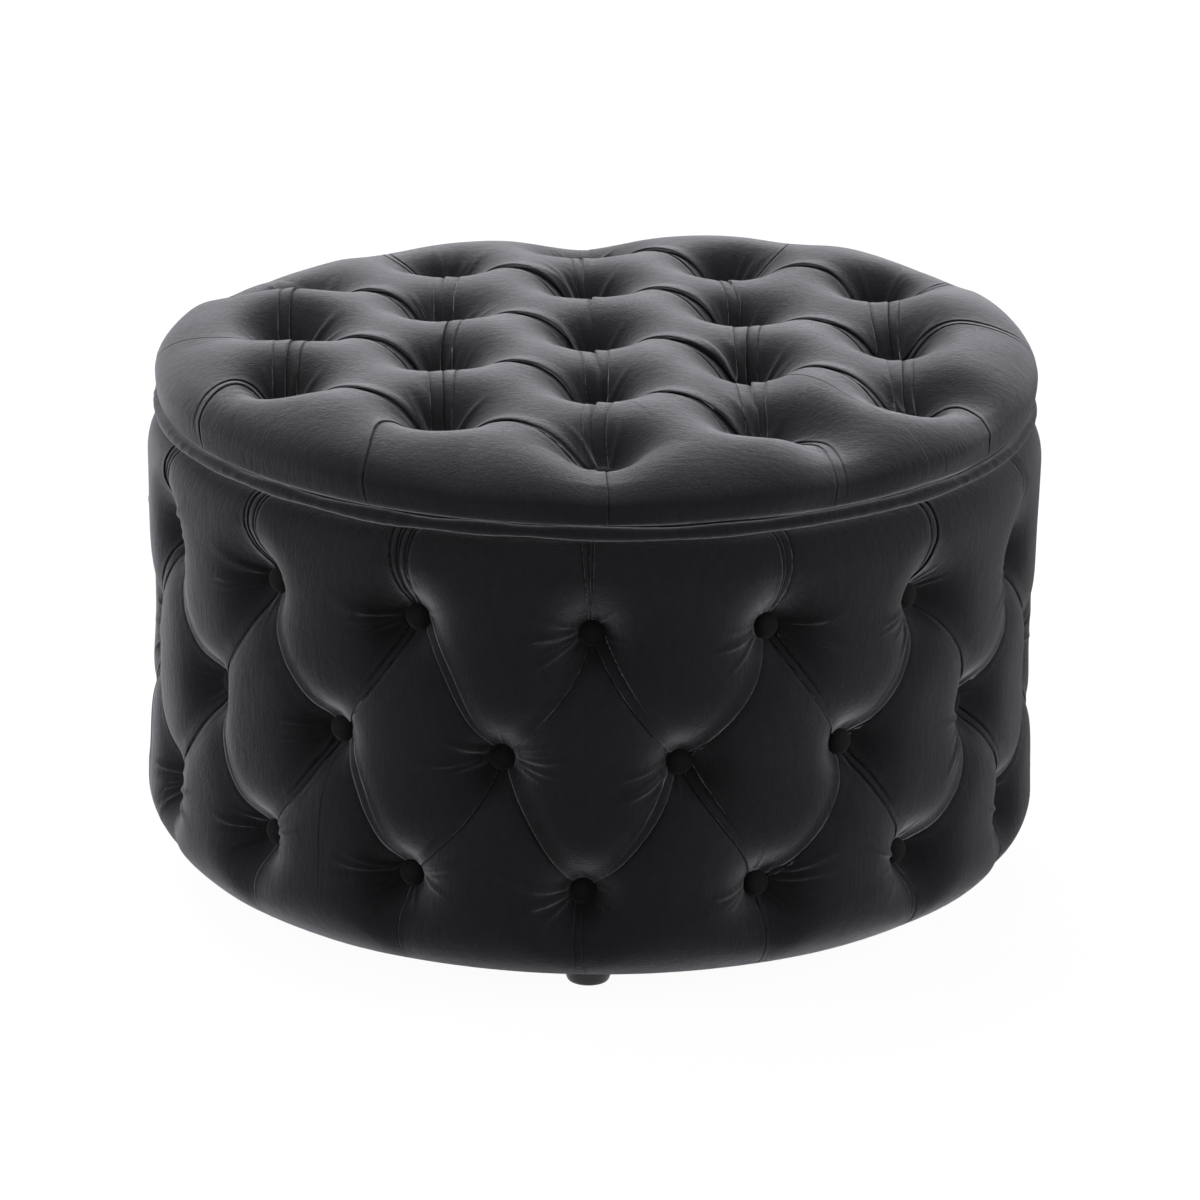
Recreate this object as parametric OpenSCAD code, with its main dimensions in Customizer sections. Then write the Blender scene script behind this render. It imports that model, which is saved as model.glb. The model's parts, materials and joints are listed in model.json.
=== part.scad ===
// Round tufted ottoman with a lift-off lid over a storage space.
// Millimetres, +Z up, front towards -Y, origin on the floor under the middle of the drum.

/* [Drum] */
// Radius of the drum over its tufts
drum_r = 372; // [350:1:400]
// Height of the frame's rim above the floor
rim_z = 400; // [380:1:430]
// Depth of a button below the tufts round it
tuft_depth = 32; // [24:1:36]
// Height of the bottom row of buttons
bottom_row_z = 99; // [90:1:105]
// From the bottom row of buttons to the middle row
lower_pitch = 107.5; // [100:0.5:112]
// From the middle row of buttons to the top row
upper_pitch = 111; // [100:0.5:114]
// Buttons in each row round the drum
tufts_round = 15; // [14:1:16]
// Radius of the padded roll at the drum's bottom edge
edge_roll = 48; // [42:1:52]
// Width of the softened shoulder at the drum's top
shoulder_w = 18; // [12:1:22]
// Height of the softened shoulder at the drum's top
shoulder_h = 20; // [14:1:24]
// How far the padded edge hangs below the base board
edge_drop = 7; // [5:0.5:9]

/* [Buttons] */
// Diameter of a covered button
button_d = 22.5; // [19:0.5:24]
// Height of a button's rim
button_rim = 2.2; // [1.5:0.1:3]
// Rise of a button's dome above its rim
button_rise = 5.5; // [4:0.1:6.5]
// Diameter of the twine that ties a button
tie_d = 1.4; // [1:0.1:2]

/* [Frame] */
// Thickness of the base board
base_t = 12; // [9:1:18]
// Width of the two wooden rings
ring_w = 26; // [24:1:32]
// Height of the lower ring
lower_ring_h = 18; // [12:1:25]
// Height of the upper ring
upper_ring_h = 16; // [12:1:25]
// Number of posts between the rings
posts = 8; // [6:1:10]
// Width of a post
post_w = 45; // [30:1:55]
// Depth of a post
post_t = 20; // [16:1:22]
// Thickness of the hardboard wrapped round the frame
skin_t = 3.5; // [2.5:0.5:5]
// Thickness of the foam wrapped round the hardboard
wrap_t = 6.3; // [4:0.1:9]
// Padding left under a button, between its seat and the foam wrap
seat_pad = 5.7; // [4:0.1:7]
// Diameter of a wood screw's shank
screw_d = 4; // [3:0.5:5]

/* [Lining] */
// Thickness of the lining and of the turned-in velvet
lining_t = 1.2; // [0.8:0.1:2]
// How far the velvet turns down inside the mouth
turn_in = 40; // [25:1:60]
// Thickness of the stiff panel on the floor of the storage space
panel_t = 3; // [2:0.5:5]

/* [Feet] */
// Height of the base board above the floor
foot_h = 30; // [26:1:45]
// Diameter of a foot at its widest
foot_d = 37; // [30:1:42]
// Distance of the feet from the middle
foot_reach = 285; // [250:1:286]
// Number of feet
feet_count = 4; // [4:1:4]
// Thickness of the felt glide under a foot
glide_t = 2.5; // [2:0.5:4]
// Diameter of a felt glide
glide_d = 22; // [16:1:24]
// Diameter of the bolt that holds a foot
bolt_d = 8; // [6:1:10]
// Diameter of the tee nut's flange
nut_flange_d = 16; // [14:0.5:20]

/* [Lid] */
// Radius of the lid over its padding
lid_r = 370; // [368:1:374]
// Height of the lid's crown above its board
crown_h = 76; // [70:1:84]
// Thickness of the lid's board
lid_board_t = 12; // [9:1:16]
// How far the lid's board stops short of the padding
board_inset = 14; // [12:1:16]
// Thickness of the firm foam on the lid's board
lid_foam_t = 13.8; // [10:0.1:15]
// Distance between neighbouring buttons of the lid
lid_pitch = 145.5; // [135:0.5:150]
// Height of a lid button's seat above the firm foam
lid_seat = 7; // [5:1:10]
// Diameter of the corded welt round the lid
welt_d = 9; // [7:0.5:10]
// Height of the flat band that shows above the welt
band_show = 5; // [3:0.5:7]
// Thickness of the flat band
band_t = 1.5; // [1:0.1:2]
// Thickness of the board that drops into the drum's mouth
insert_t = 11.6; // [9:0.1:18]
// Gap between the lid's insert and the lining of the mouth
insert_gap = 4; // [3:0.5:8]
// Distance of the insert's screws from its edge
insert_screw_inset = 58; // [40:1:80]
// How far the loose lid is turned from square
lid_turn = 1.9; // [0:0.1:10]

/* [Hidden] */
$fn = 96;
touch = 0.3;                    // gap at which a soft or loose piece lies on its seat
fit = 0.2;                      // clearance of a piece pressed or set in another
lid_rings = 2;                  // rings of buttons round the lid's middle one
hex_a = 60;                     // angle between the lines of the lid's button grid

// The drum, worked out from its tufts inwards
seat_r = drum_r - tuft_depth;
wrap_r = seat_r - seat_pad;
skin_r = wrap_r - fit - wrap_t;
ring_r = skin_r - skin_t - fit;
ring_in = ring_r - ring_w;
lining_r = ring_in - fit;
cavity_r = lining_r - lining_t;
pad_top = rim_z + touch;
edge_z = foot_h - edge_drop;
row_z = [bottom_row_z, bottom_row_z + lower_pitch, bottom_row_z + lower_pitch + upper_pitch];
row_turn = [0, 0.5, 0];         // rows are staggered by half a pitch
tuft_a = 360 / tufts_round;

// Levels of the frame
base_top = foot_h + base_t;
lower_top = base_top + lower_ring_h;
upper_low = rim_z - upper_ring_h;
post_out = sqrt(pow(ring_r, 2) - pow(post_w / 2, 2));
post_in = max(post_out - post_t, lining_r + fit);
post_mid = (post_in + post_out) / 2;
post_a = 360 / posts;

// Fasteners
screw_head_d = 2 * screw_d;
screw_head_h = 0.6 * screw_d;
screw_bite = 30;                // length of screw inside a post
nut_flange_t = 1.5;
nut_r = bolt_d / 2 + 1.2;
bolt_low = glide_t + 9;
nut_low = foot_h + 1.5;
bolt_gap = 0.1;
staple = [12, 1.2, 0.6];
staple_inset = 6;

// Inside floor
panel_z = base_top + nut_flange_t + touch;
floor_cloth_z = panel_z + panel_t;

// Underside
cloth_t = lining_t;
hem_w = 22;
cloth_r = wrap_r - 4;
cloth_hole_r = foot_d / 2 + 1;

// Rim of the mouth
band_out = seat_r + 5;
rim_cloth_top = pad_top + fit + lining_t;

// The lid, from its underside upwards
lid_z = rim_cloth_top + staple[2] + touch;
lid_board_z = lid_z + lining_t;
lid_board_top = lid_board_z + lid_board_t;
board_r = lid_r - board_inset;
band_r = board_r + fit;
welt_r = band_r + band_t + fit + welt_d / 2;
skirt_z = lid_board_z + welt_d + band_show;
skirt_in = band_r + band_t + fit;
lid_foam_r = board_r - 2;
lid_foam_top = lid_board_top + fit + lid_foam_t;
lid_under = lid_foam_top + touch;
lid_floor = lid_foam_top + lid_seat;
lid_crown = lid_board_top + crown_h;
insert_r = cavity_r - insert_gap;
insert_low = lid_z - fit - insert_t;
insert_screw_count = 6;
insert_screw_reach = insert_r - insert_screw_inset;
screw_stop = lid_board_t / 2;   // depth of an insert screw in the lid's board

// How the tufts are sampled
seat_half = button_d / 2 + 1.75;         // half width of the flat under a side button
seat_a = seat_half / seat_r * 180 / PI;
crease = 0.26;                           // depth of a pleat as a share of the tuft
lid_steps = 7;                           // mesh steps between two lid buttons
lid_step = lid_pitch / lid_steps;
rim_steps = ceil((lid_r - lid_rings * lid_pitch * cos(hex_a / 2)) / lid_step);
dimple_lift = 5;                         // rise of the lid one step away from a button
lid_edge = 0.22;                         // height of the lid's edge as a share of its crown
crown_bow = 3.4;                         // how flat the lid's crown is
crown_fall = 0.65;                       // how round the lid falls to its edge
roll_bow = 2.2;                          // how full the drum's bottom roll is

// ---- helpers ----

// Places children on a circle, the first one at the front
module around(count, first = 0) {
    for (i = [0 : count - 1])
        rotate([0, 0, first + i * 360 / count]) children();
}

// A flat ring from one height to another
module ring(r_out, r_in, z_low, z_high) {
    translate([0, 0, z_low]) difference() {
        cylinder(r = r_out, h = z_high - z_low);
        translate([0, 0, -1]) cylinder(r = r_in, h = z_high - z_low + 2);
    }
}

module disc(r, z_low, z_high) {
    translate([0, 0, z_low]) cylinder(r = r, h = z_high - z_low);
}

// A covered button: flat back at the origin, dome towards +Z
module button() {
    dome_r = (pow(button_d / 2, 2) + pow(button_rise, 2)) / (2 * button_rise);
    intersection() {
        cylinder(d = button_d, h = button_rim + button_rise + 1, $fn = 48);
        translate([0, 0, button_rim + button_rise - dome_r]) sphere(r = dome_r, $fn = 48);
    }
}

// A countersunk wood screw: head on top at the origin, point downwards
module wood_screw(length) {
    translate([0, 0, -screw_head_h])
        cylinder(d1 = screw_d, d2 = screw_head_d, h = screw_head_h, $fn = 32);
    translate([0, 0, -length]) cylinder(d = screw_d, h = length - screw_head_h, $fn = 32);
}

// The hole that such a screw needs
module screw_hole(length) {
    translate([0, 0, -length - 1]) cylinder(d = screw_d + bolt_gap, h = length + 2, $fn = 32);
    translate([0, 0, -screw_head_h - bolt_gap])
        cylinder(d1 = screw_d + bolt_gap, d2 = screw_head_d + 4 * bolt_gap,
            h = screw_head_h + 2 * bolt_gap, $fn = 32);
}

module at_feet() {
    around(feet_count) translate([0, -foot_reach, 0]) children();
}

// The room that the tee nuts' flanges need above the base board
module nut_room() {
    at_feet() translate([0, 0, base_top - 1])
        cylinder(d = nut_flange_d + 2 * touch, h = nut_flange_t + touch + 1);
}

// Every button position on the drum's side, with +Z pointing outwards
module at_row(row, r) {
    around(tufts_round, row_turn[row] * tuft_a)
        translate([0, -r, row_z[row]]) rotate([90, 0, 0]) children();
}

// ---- shape of the tufted side ----

function clamp(x, low, high) = min(max(x, low), high);

// Radius of the padding where no button pulls it in
function side_envelope(z) =
    let (low = clamp((edge_z + edge_roll - z) / edge_roll, 0, 1),
        high = clamp((z - pad_top + shoulder_h) / shoulder_h, 0, 1))
    drum_r - edge_roll * (1 - pow(1 - pow(low, roll_bow), 1 / roll_bow))
        - shoulder_w * (1 - sqrt(1 - high * high));

// Distance in turns of a pitch from the nearest button of a row
function turn_gap(u, row) = abs(u - row_turn[row] - round(u - row_turn[row]));

function side_gap(u, z) = min([for (row = [0 : 2])
    norm([turn_gap(u, row) * tuft_a * PI / 180 * seat_r, z - row_z[row]])]);

function side_r(u, z) =
    let (v = clamp((z - row_z[1]) / (2 * (z < row_z[1] ? lower_pitch : upper_pitch)), -0.5, 0.5),
        pillow = pow(abs(cos(180 * (u + v)) * cos(180 * (u - v))), 0.35),
        away = clamp((side_gap(u, z) - 1.45 * seat_half) / (2.4 * seat_half), 0, 1),
        full = sin(90 * away) * (1 - crease + crease * pillow),
        out = side_envelope(z))
    min(out, seat_r) + max(out - seat_r, 0) * full;

// Angles of the mesh within one pitch, closer together at the buttons
side_cols = [for (i = [0 : tufts_round - 1])
    for (a = [0, seat_a, tuft_a / 4, tuft_a / 2 - seat_a,
        tuft_a / 2, tuft_a / 2 + seat_a, tuft_a * 3 / 4, tuft_a - seat_a]) i * tuft_a + a];

// Heights of the mesh: the bottom roll, each row of buttons, and the shoulder
side_rows = concat(
    [for (t = [0.97, 0.86, 0.6, 0.3]) edge_z + edge_roll * (1 - t)],
    [row_z[0] - seat_half, row_z[0], row_z[0] + seat_half, row_z[0] + lower_pitch / 3],
    [row_z[1] - lower_pitch / 3, row_z[1] - seat_half, row_z[1], row_z[1] + seat_half],
    [row_z[1] + upper_pitch / 3, row_z[2] - upper_pitch / 3],
    [row_z[2] - seat_half, row_z[2], row_z[2] + seat_half],
    [(row_z[2] + seat_half + pad_top - shoulder_h) / 2],
    [for (t = [0, 0.5, 0.8, 1]) pad_top - shoulder_h * (1 - t)]);

// ---- shape of the tufted lid ----

function corner(i) = [cos(hex_a * (i + 0.5)), sin(hex_a * (i + 0.5))];

// Point i of hexagonal mesh ring j, at radius 1 at the hexagon's corners
function hex_point(j, i) =
    let (side = floor(i / j), t = i / j - side)
    corner(side) * (1 - t) + corner(side + 1) * t;

function lid_xy(j, i) =
    let (inner = lid_rings * lid_steps, p = hex_point(j, i), t = (j - inner) / rim_steps)
    j <= inner ? p * j * lid_step : p / norm(p) * (norm(p) * inner * lid_step * (1 - t) + lid_r * t);

// The lid's buttons: one in the middle and two hexagonal rings round it
lid_dimples = concat([[0, 0]], [for (j = [1 : lid_rings]) for (i = [0 : 6 * j - 1])
    hex_point(j, i) * j * lid_pitch]);

function lid_gap(p) = min([for (d = lid_dimples) norm(p - d)]);

// Height of the padding where no button pulls it in
function lid_envelope(p) =
    let (fall = pow(1 - pow(min(norm(p) / lid_r, 1), crown_bow), crown_fall))
    lid_board_top + crown_h * (lid_edge + (1 - lid_edge) * fall);

// Closeness to a pleat: 1 on one, 0 well away from it
function on_line(gap) = exp(-pow(gap / 14, 2));
function line_gap(p, a) =
    let (row = lid_pitch * cos(hex_a / 2), o = (p[0] * cos(a) + p[1] * sin(a)) / row)
    abs(o - round(o)) * row;
function ray_gap(p) =
    let (pleat_a = hex_a / 2, a = atan2(p[1], p[0]) / pleat_a)
    norm(p) * sin(abs(a - round(a)) * pleat_a);

function lid_pleat(p) =
    let (inside = norm(p) < (lid_rings - 0.1) * lid_pitch)
    inside ? max(on_line(line_gap(p, 0)), on_line(line_gap(p, hex_a))) : on_line(ray_gap(p));

function lid_height(p) =
    let (gap = lid_gap(p), out = lid_envelope(p),
        away = clamp((gap - 1.2 * lid_step) / (2.4 * lid_step), 0, 1),
        near = clamp(gap / lid_step, 0, 1) * dimple_lift,
        full = pow(sin(90 * away), 0.75) * (1 - crease * lid_pleat(p)))
    lid_floor + near + (out - lid_floor - near) * full;

lid_mesh_rings = lid_rings * lid_steps + rim_steps;
lid_edge_count = 6 * lid_mesh_rings;
function ring_start(j) = j == 0 ? 0 : 1 + 3 * j * (j - 1);
function ring_index(j, i) = j == 0 ? 0 : ring_start(j) + i % (6 * j);

lid_top_points = concat([[0, 0, lid_floor]],
    [for (j = [1 : lid_mesh_rings]) for (i = [0 : 6 * j - 1])
        let (p = lid_xy(j, i)) [p[0], p[1], lid_height(p)]]);
lid_top_faces = [for (j = [1 : lid_mesh_rings]) for (s = [0 : 5]) for (k = [0 : j - 1])
    each concat(
        [[ring_index(j, s * j + k + 1), ring_index(j, s * j + k), ring_index(j - 1, s * (j - 1) + k)]],
        k == 0 ? [] : [[ring_index(j, s * j + k), ring_index(j - 1, s * (j - 1) + k - 1),
            ring_index(j - 1, s * (j - 1) + k)]])];

// Rings of points that close the lid's padding below: [radius, height]
lid_closing = [[lid_r, (lid_envelope([lid_r, 0]) + skirt_z) / 2 + 2], [lid_r - 3, skirt_z],
    [skirt_in, skirt_z], [skirt_in, lid_under]];
lid_close_points = [for (c = lid_closing) for (i = [0 : lid_edge_count - 1])
    let (p = hex_point(lid_mesh_rings, i)) [p[0] / norm(p) * c[0], p[1] / norm(p) * c[0], c[1]]];
lid_last = ring_start(lid_mesh_rings);
lid_close_faces = [for (c = [0 : len(lid_closing) - 1]) for (i = [0 : lid_edge_count - 1])
    let (a = lid_last + c * lid_edge_count, n = (i + 1) % lid_edge_count)
    each [[a + i, a + n, a + lid_edge_count + i], [a + n, a + lid_edge_count + n, a + lid_edge_count + i]]];
lid_under_centre = len(lid_top_points) + len(lid_close_points);
lid_under_faces = [for (i = [0 : lid_edge_count - 1])
    let (a = lid_last + len(lid_closing) * lid_edge_count)
    [a + i, a + (i + 1) % lid_edge_count, lid_under_centre]];

// ---- frame ----

module base_board() {
    color("burlywood") difference() {
        disc(ring_r, foot_h, base_top);
        at_feet() translate([0, 0, foot_h - 1]) cylinder(r = nut_r + bolt_gap, h = base_t + 2, $fn = 48);
        around(posts, post_a / 2) translate([0, -post_mid, foot_h])
            rotate([180, 0, 0]) screw_hole(base_t);
    }
}

module lower_ring() {
    color("burlywood") difference() {
        ring(ring_r, ring_in, base_top, lower_top);
        around(posts, post_a / 2) translate([0, -post_mid, base_top - 1])
            cylinder(d = screw_d + bolt_gap, h = lower_ring_h + 2, $fn = 32);
        nut_room();
    }
}

module upper_ring() {
    color("burlywood") difference() {
        ring(ring_r, ring_in, upper_low, rim_z);
        around(posts, post_a / 2) translate([0, -post_mid, rim_z]) screw_hole(upper_ring_h);
    }
}

module frame_posts() {
    color("tan") around(posts, post_a / 2) difference() {
        translate([-post_w / 2, -post_out, lower_top])
            cube([post_w, post_out - post_in, upper_low - lower_top]);
        translate([0, -post_mid, upper_low - screw_bite - 1])
            cylinder(d = screw_d + bolt_gap, h = screw_bite + 2, $fn = 32);
        translate([0, -post_mid, lower_top - 1])
            cylinder(d = screw_d + bolt_gap, h = screw_bite + 2, $fn = 32);
    }
}

module frame_screws() {
    color("silver") around(posts, post_a / 2) {
        translate([0, -post_mid, rim_z]) wood_screw(upper_ring_h + screw_bite);
        translate([0, -post_mid, foot_h]) rotate([180, 0, 0])
            wood_screw(base_t + lower_ring_h + screw_bite);
    }
}

module hardboard_wrap() {
    color("peru") difference() {
        ring(skin_r, ring_r + fit, foot_h, rim_z);
        nut_room();
    }
}

// ---- padding and velvet of the drum ----

module side_foam() {
    color("khaki") difference() {
        ring(wrap_r - fit, skin_r + fit, foot_h, rim_z);
        for (row = [0 : 2])
            at_row(row, skin_r - 1) cylinder(d = tie_d + 4 * bolt_gap, h = wrap_t + 3, $fn = 16);
    }
}

module side_cover() {
    n = len(side_cols);
    last = len(side_rows) - 1;
    reach = [for (z = side_rows) [for (a = side_cols) side_r(a / tuft_a, z)]];
    outer = [for (k = [0 : last]) for (i = [0 : n - 1])
        [reach[k][i] * sin(side_cols[i]), -reach[k][i] * cos(side_cols[i]), side_rows[k]]];
    inner = [for (z = [side_rows[0], side_rows[last]]) for (a = side_cols)
        [wrap_r * sin(a), -wrap_r * cos(a), z]];
    rings = concat([for (k = [0 : last]) k * n], [(last + 2) * n, (last + 1) * n, 0]);
    // Each square is split along its deeper diagonal, so that the pleats come out sharp
    faces = [for (k = [0 : len(rings) - 2]) for (i = [0 : n - 1])
        let (m = (i + 1) % n, a = rings[k], b = rings[k + 1],
            rising = k < last && reach[k][i] + reach[k + 1][m] < reach[k][m] + reach[k + 1][i])
        each rising
            ? [[a + i, b + m, a + m], [a + i, b + i, b + m]]
            : [[a + i, b + i, a + m], [a + m, b + i, b + m]]];
    color("dimgray") polyhedron(points = concat(outer, inner), faces = faces);
}

module button_row(row) {
    color("gray") at_row(row, seat_r + touch) button();
}

module bottom_button_row() { button_row(0); }
module middle_button_row() { button_row(1); }
module top_button_row() { button_row(2); }

module side_button_ties() {
    color("white") for (row = [0 : 2])
        at_row(row, skin_r + fit / 2) cylinder(d = tie_d, h = seat_r - skin_r, $fn = 16);
}

// ---- lining ----

// Velvet turned over the rim and down inside the mouth
module rim_cloth() {
    color("dimgray") difference() {
        disc(band_out, rim_z - turn_in, rim_cloth_top);
        ring(band_out + 1, lining_r, rim_z - turn_in - 1, rim_cloth_top - lining_t);
        disc(cavity_r, rim_z - turn_in - 1, rim_cloth_top + 1);
    }
}

module wall_lining() {
    color("darkslategray") difference() {
        ring(lining_r, cavity_r, base_top + touch, rim_z - turn_in - touch);
        nut_room();
    }
}

module floor_panel() {
    color("sienna") disc(cavity_r - touch, panel_z, floor_cloth_z);
}

module floor_cloth() {
    color("darkslategray") disc(cavity_r - touch, floor_cloth_z, floor_cloth_z + lining_t);
}

// ---- underside and feet ----

module bottom_hem() {
    color("dimgray") difference() {
        ring(wrap_r - fit, wrap_r - fit - hem_w, foot_h - cloth_t, foot_h);
        at_feet() translate([0, 0, foot_h - cloth_t - 1]) cylinder(r = cloth_hole_r, h = cloth_t + 2);
    }
}

module dust_cover() {
    color("black") difference() {
        disc(cloth_r, foot_h - 2 * cloth_t, foot_h - cloth_t);
        at_feet() translate([0, 0, foot_h - 2 * cloth_t - 1]) cylinder(r = cloth_hole_r, h = cloth_t + 2);
    }
}

module base_staples() {
    color("silver") around(36, 5)
        translate([-staple[0] / 2, staple_inset - cloth_r, foot_h - 2 * cloth_t - staple[2]]) cube(staple);
}

// Bun foot: a round swelling between a narrower neck and a rounded toe
module feet() {
    neck_r = 0.4 * foot_d;
    swell_z = glide_t + 0.45 * (foot_h - glide_t);
    upper_h = foot_h - swell_z;
    lower_h = swell_z - glide_t;
    profile = concat(
        [[0, glide_t]],
        [for (a = [0 : 15 : 90])
            [glide_d / 2 + 1 + (foot_d / 2 - glide_d / 2 - 1) * sin(a), swell_z - lower_h * cos(a)]],
        [for (a = [15 : 15 : 90])
            [neck_r + (foot_d / 2 - neck_r) * cos(a), swell_z + upper_h * sin(a)]],
        [[0, foot_h]]);
    color([0.08, 0.08, 0.08]) at_feet() difference() {
        rotate_extrude($fn = 64) polygon(profile);
        translate([0, 0, bolt_low - 1]) cylinder(d = bolt_d + bolt_gap, h = foot_h, $fn = 48);
    }
}

module felt_glides() {
    color("gray") at_feet() cylinder(d = glide_d, h = glide_t, $fn = 48);
}

module foot_bolts() {
    color("silver") at_feet() translate([0, 0, bolt_low])
        cylinder(d = bolt_d, h = base_top - bolt_low, $fn = 48);
}

module tee_nuts() {
    color("silver") at_feet() difference() {
        union() {
            translate([0, 0, nut_low]) cylinder(r = nut_r, h = base_top - nut_low, $fn = 48);
            translate([0, 0, base_top]) cylinder(d = nut_flange_d, h = nut_flange_t, $fn = 48);
        }
        translate([0, 0, nut_low - 1]) cylinder(d = bolt_d + bolt_gap, h = foot_h, $fn = 48);
    }
}

// ---- lid ----

module on_lid() {
    rotate([0, 0, lid_turn]) children();
}

module at_lid_buttons() {
    on_lid() for (d = lid_dimples) translate([d[0], d[1], 0]) children();
}

module lid_board() {
    color("burlywood") difference() {
        disc(board_r, lid_board_z, lid_board_top);
        on_lid() around(insert_screw_count) translate([0, -insert_screw_reach, lid_board_z - 1])
            cylinder(d = screw_d + bolt_gap, h = screw_stop + 1 + touch, $fn = 32);
    }
}

module lid_foam() {
    color("khaki") difference() {
        disc(lid_foam_r, lid_board_top + fit, lid_foam_top);
        at_lid_buttons() translate([0, 0, lid_board_top])
            cylinder(d = tie_d + 4 * bolt_gap, h = lid_foam_t + 2, $fn = 16);
    }
}

module lid_cover() {
    color("dimgray") on_lid() polyhedron(
        points = concat(lid_top_points, lid_close_points, [[0, 0, lid_under]]),
        faces = concat(lid_top_faces, lid_close_faces, lid_under_faces));
}

// A lid button rests on the slope round the bottom of its dimple
lid_button_z = lid_floor + dimple_lift * button_d / 2 / lid_step / cos(hex_a / 2) + touch;

module lid_buttons() {
    color("gray") at_lid_buttons() translate([0, 0, lid_button_z]) button();
}

module lid_button_ties() {
    color("white") at_lid_buttons() translate([0, 0, lid_board_top + fit / 2])
        cylinder(d = tie_d, h = lid_button_z - lid_board_top - fit, $fn = 16);
}

module lid_welt() {
    color("gray") rotate_extrude()
        translate([welt_r, lid_board_z + welt_d / 2]) circle(d = welt_d, $fn = 32);
}

module lid_band() {
    color("dimgray") ring(band_r + band_t, band_r, lid_board_z, skirt_z - fit);
}

module lid_lining() {
    color("darkslategray") difference() {
        disc(board_r - 3, lid_z, lid_board_z);
        on_lid() around(insert_screw_count) translate([0, -insert_screw_reach, lid_z - 1])
            cylinder(d = screw_d + bolt_gap, h = lining_t + 2, $fn = 32);
    }
}

module lid_staples() {
    color("silver") on_lid() around(36)
        translate([-staple[0] / 2, staple_inset - board_r, lid_z - staple[2]]) cube(staple);
}

module insert_board() {
    color("burlywood") difference() {
        disc(insert_r - lining_t - fit, insert_low, lid_z);
        on_lid() around(insert_screw_count) translate([0, -insert_screw_reach, insert_low])
            rotate([180, 0, 0]) screw_hole(insert_t + 1);
    }
}

module insert_lining() {
    color("darkslategray") difference() {
        disc(insert_r, insert_low - lining_t - fit, lid_z - fit);
        disc(insert_r - lining_t, insert_low - fit, lid_z + 1);
    }
}

module insert_screws() {
    color("silver") on_lid() around(insert_screw_count) translate([0, -insert_screw_reach, insert_low])
        rotate([180, 0, 0]) wood_screw(lid_board_z - insert_low + screw_stop);
}

base_board();
lower_ring();
frame_posts();
upper_ring();
frame_screws();
hardboard_wrap();
side_foam();
side_cover();
top_button_row();
middle_button_row();
bottom_button_row();
side_button_ties();
rim_cloth();
wall_lining();
floor_panel();
floor_cloth();
bottom_hem();
dust_cover();
base_staples();
feet();
felt_glides();
foot_bolts();
tee_nuts();
lid_board();
lid_foam();
lid_cover();
lid_buttons();
lid_button_ties();
lid_welt();
lid_band();
lid_lining();
lid_staples();
insert_board();
insert_lining();
insert_screws();
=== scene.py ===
import json
import math
import bpy
import numpy as np
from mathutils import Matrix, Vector

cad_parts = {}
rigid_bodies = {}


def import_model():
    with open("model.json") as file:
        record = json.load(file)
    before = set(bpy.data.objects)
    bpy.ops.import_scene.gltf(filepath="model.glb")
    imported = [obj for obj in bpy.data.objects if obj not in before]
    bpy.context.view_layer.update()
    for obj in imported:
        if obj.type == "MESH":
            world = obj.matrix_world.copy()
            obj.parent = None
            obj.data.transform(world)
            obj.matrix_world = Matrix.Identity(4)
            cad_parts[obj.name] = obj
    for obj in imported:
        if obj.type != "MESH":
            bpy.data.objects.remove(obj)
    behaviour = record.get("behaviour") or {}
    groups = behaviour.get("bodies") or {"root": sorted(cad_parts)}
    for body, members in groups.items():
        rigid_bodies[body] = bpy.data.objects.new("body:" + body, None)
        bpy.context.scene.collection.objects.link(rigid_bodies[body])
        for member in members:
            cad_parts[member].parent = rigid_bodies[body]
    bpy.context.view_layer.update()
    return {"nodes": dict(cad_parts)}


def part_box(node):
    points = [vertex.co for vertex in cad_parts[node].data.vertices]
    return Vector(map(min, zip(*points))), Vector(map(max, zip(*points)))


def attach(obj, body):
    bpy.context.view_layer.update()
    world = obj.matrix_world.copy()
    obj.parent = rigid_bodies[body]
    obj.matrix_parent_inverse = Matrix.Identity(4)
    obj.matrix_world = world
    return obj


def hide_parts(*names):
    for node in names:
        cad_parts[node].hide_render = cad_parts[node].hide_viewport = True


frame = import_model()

# Round storage ottoman in charcoal velvet, tufted all over, with a lid that lifts off.
# Metres in Blender; the quilting is worked out in millimetres and scaled by MM at the end.

MM = 0.001
TAU = 2 * math.pi


def node_box(node):
    """Lowest and highest corner of a CAD node in millimetres."""
    low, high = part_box(node)
    return [v / MM for v in low], [v / MM for v in high]


def heights(node):
    """Lowest and highest z of a CAD node in millimetres."""
    low, high = node_box(node)
    return low[2], high[2]


# ---- sizes in mm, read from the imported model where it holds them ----
DRUM_R = node_box("side_cover")[1][1]          # over the tufts
PAD_TOP = heights("side_cover")[1]
RIM_LOW, RIM_TOP = heights("rim_cloth")
CAVITY_R = 296.7                               # inside of the storage space
BOARD_LOW = 30.0                               # underside of the base board
FOOT_REACH = 285.0                             # from the middle to each foot
FOOT_PLACES = [(0, -FOOT_REACH), (FOOT_REACH, 0), (0, FOOT_REACH), (-FOOT_REACH, 0)]
ROW_WORDS = ("bottom", "middle", "top")
ROW_Z = [sum(heights(word + "_button_row")) / 2 for word in ROW_WORDS]
SEAT_R = 340.0                                 # backs of the side buttons
TUFTS = 15                                     # in each row round the side
LID_R = 367.5                                  # over the lid's velvet
SKIRT_Z, LID_TOP = heights("lid_cover")
BOARD_TOP = heights("lid_board")[1]
WELT_R, WELT_D = 362.4, 9.0
WELT_Z = sum(heights("lid_welt")) / 2
LID_PULL = 7.0                                 # how much deeper than in the solids the lid is tufted
LID_SEAT_Z = heights("lid_buttons")[0] - LID_PULL
PITCH = 145.5                                  # between the lid's buttons
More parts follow.
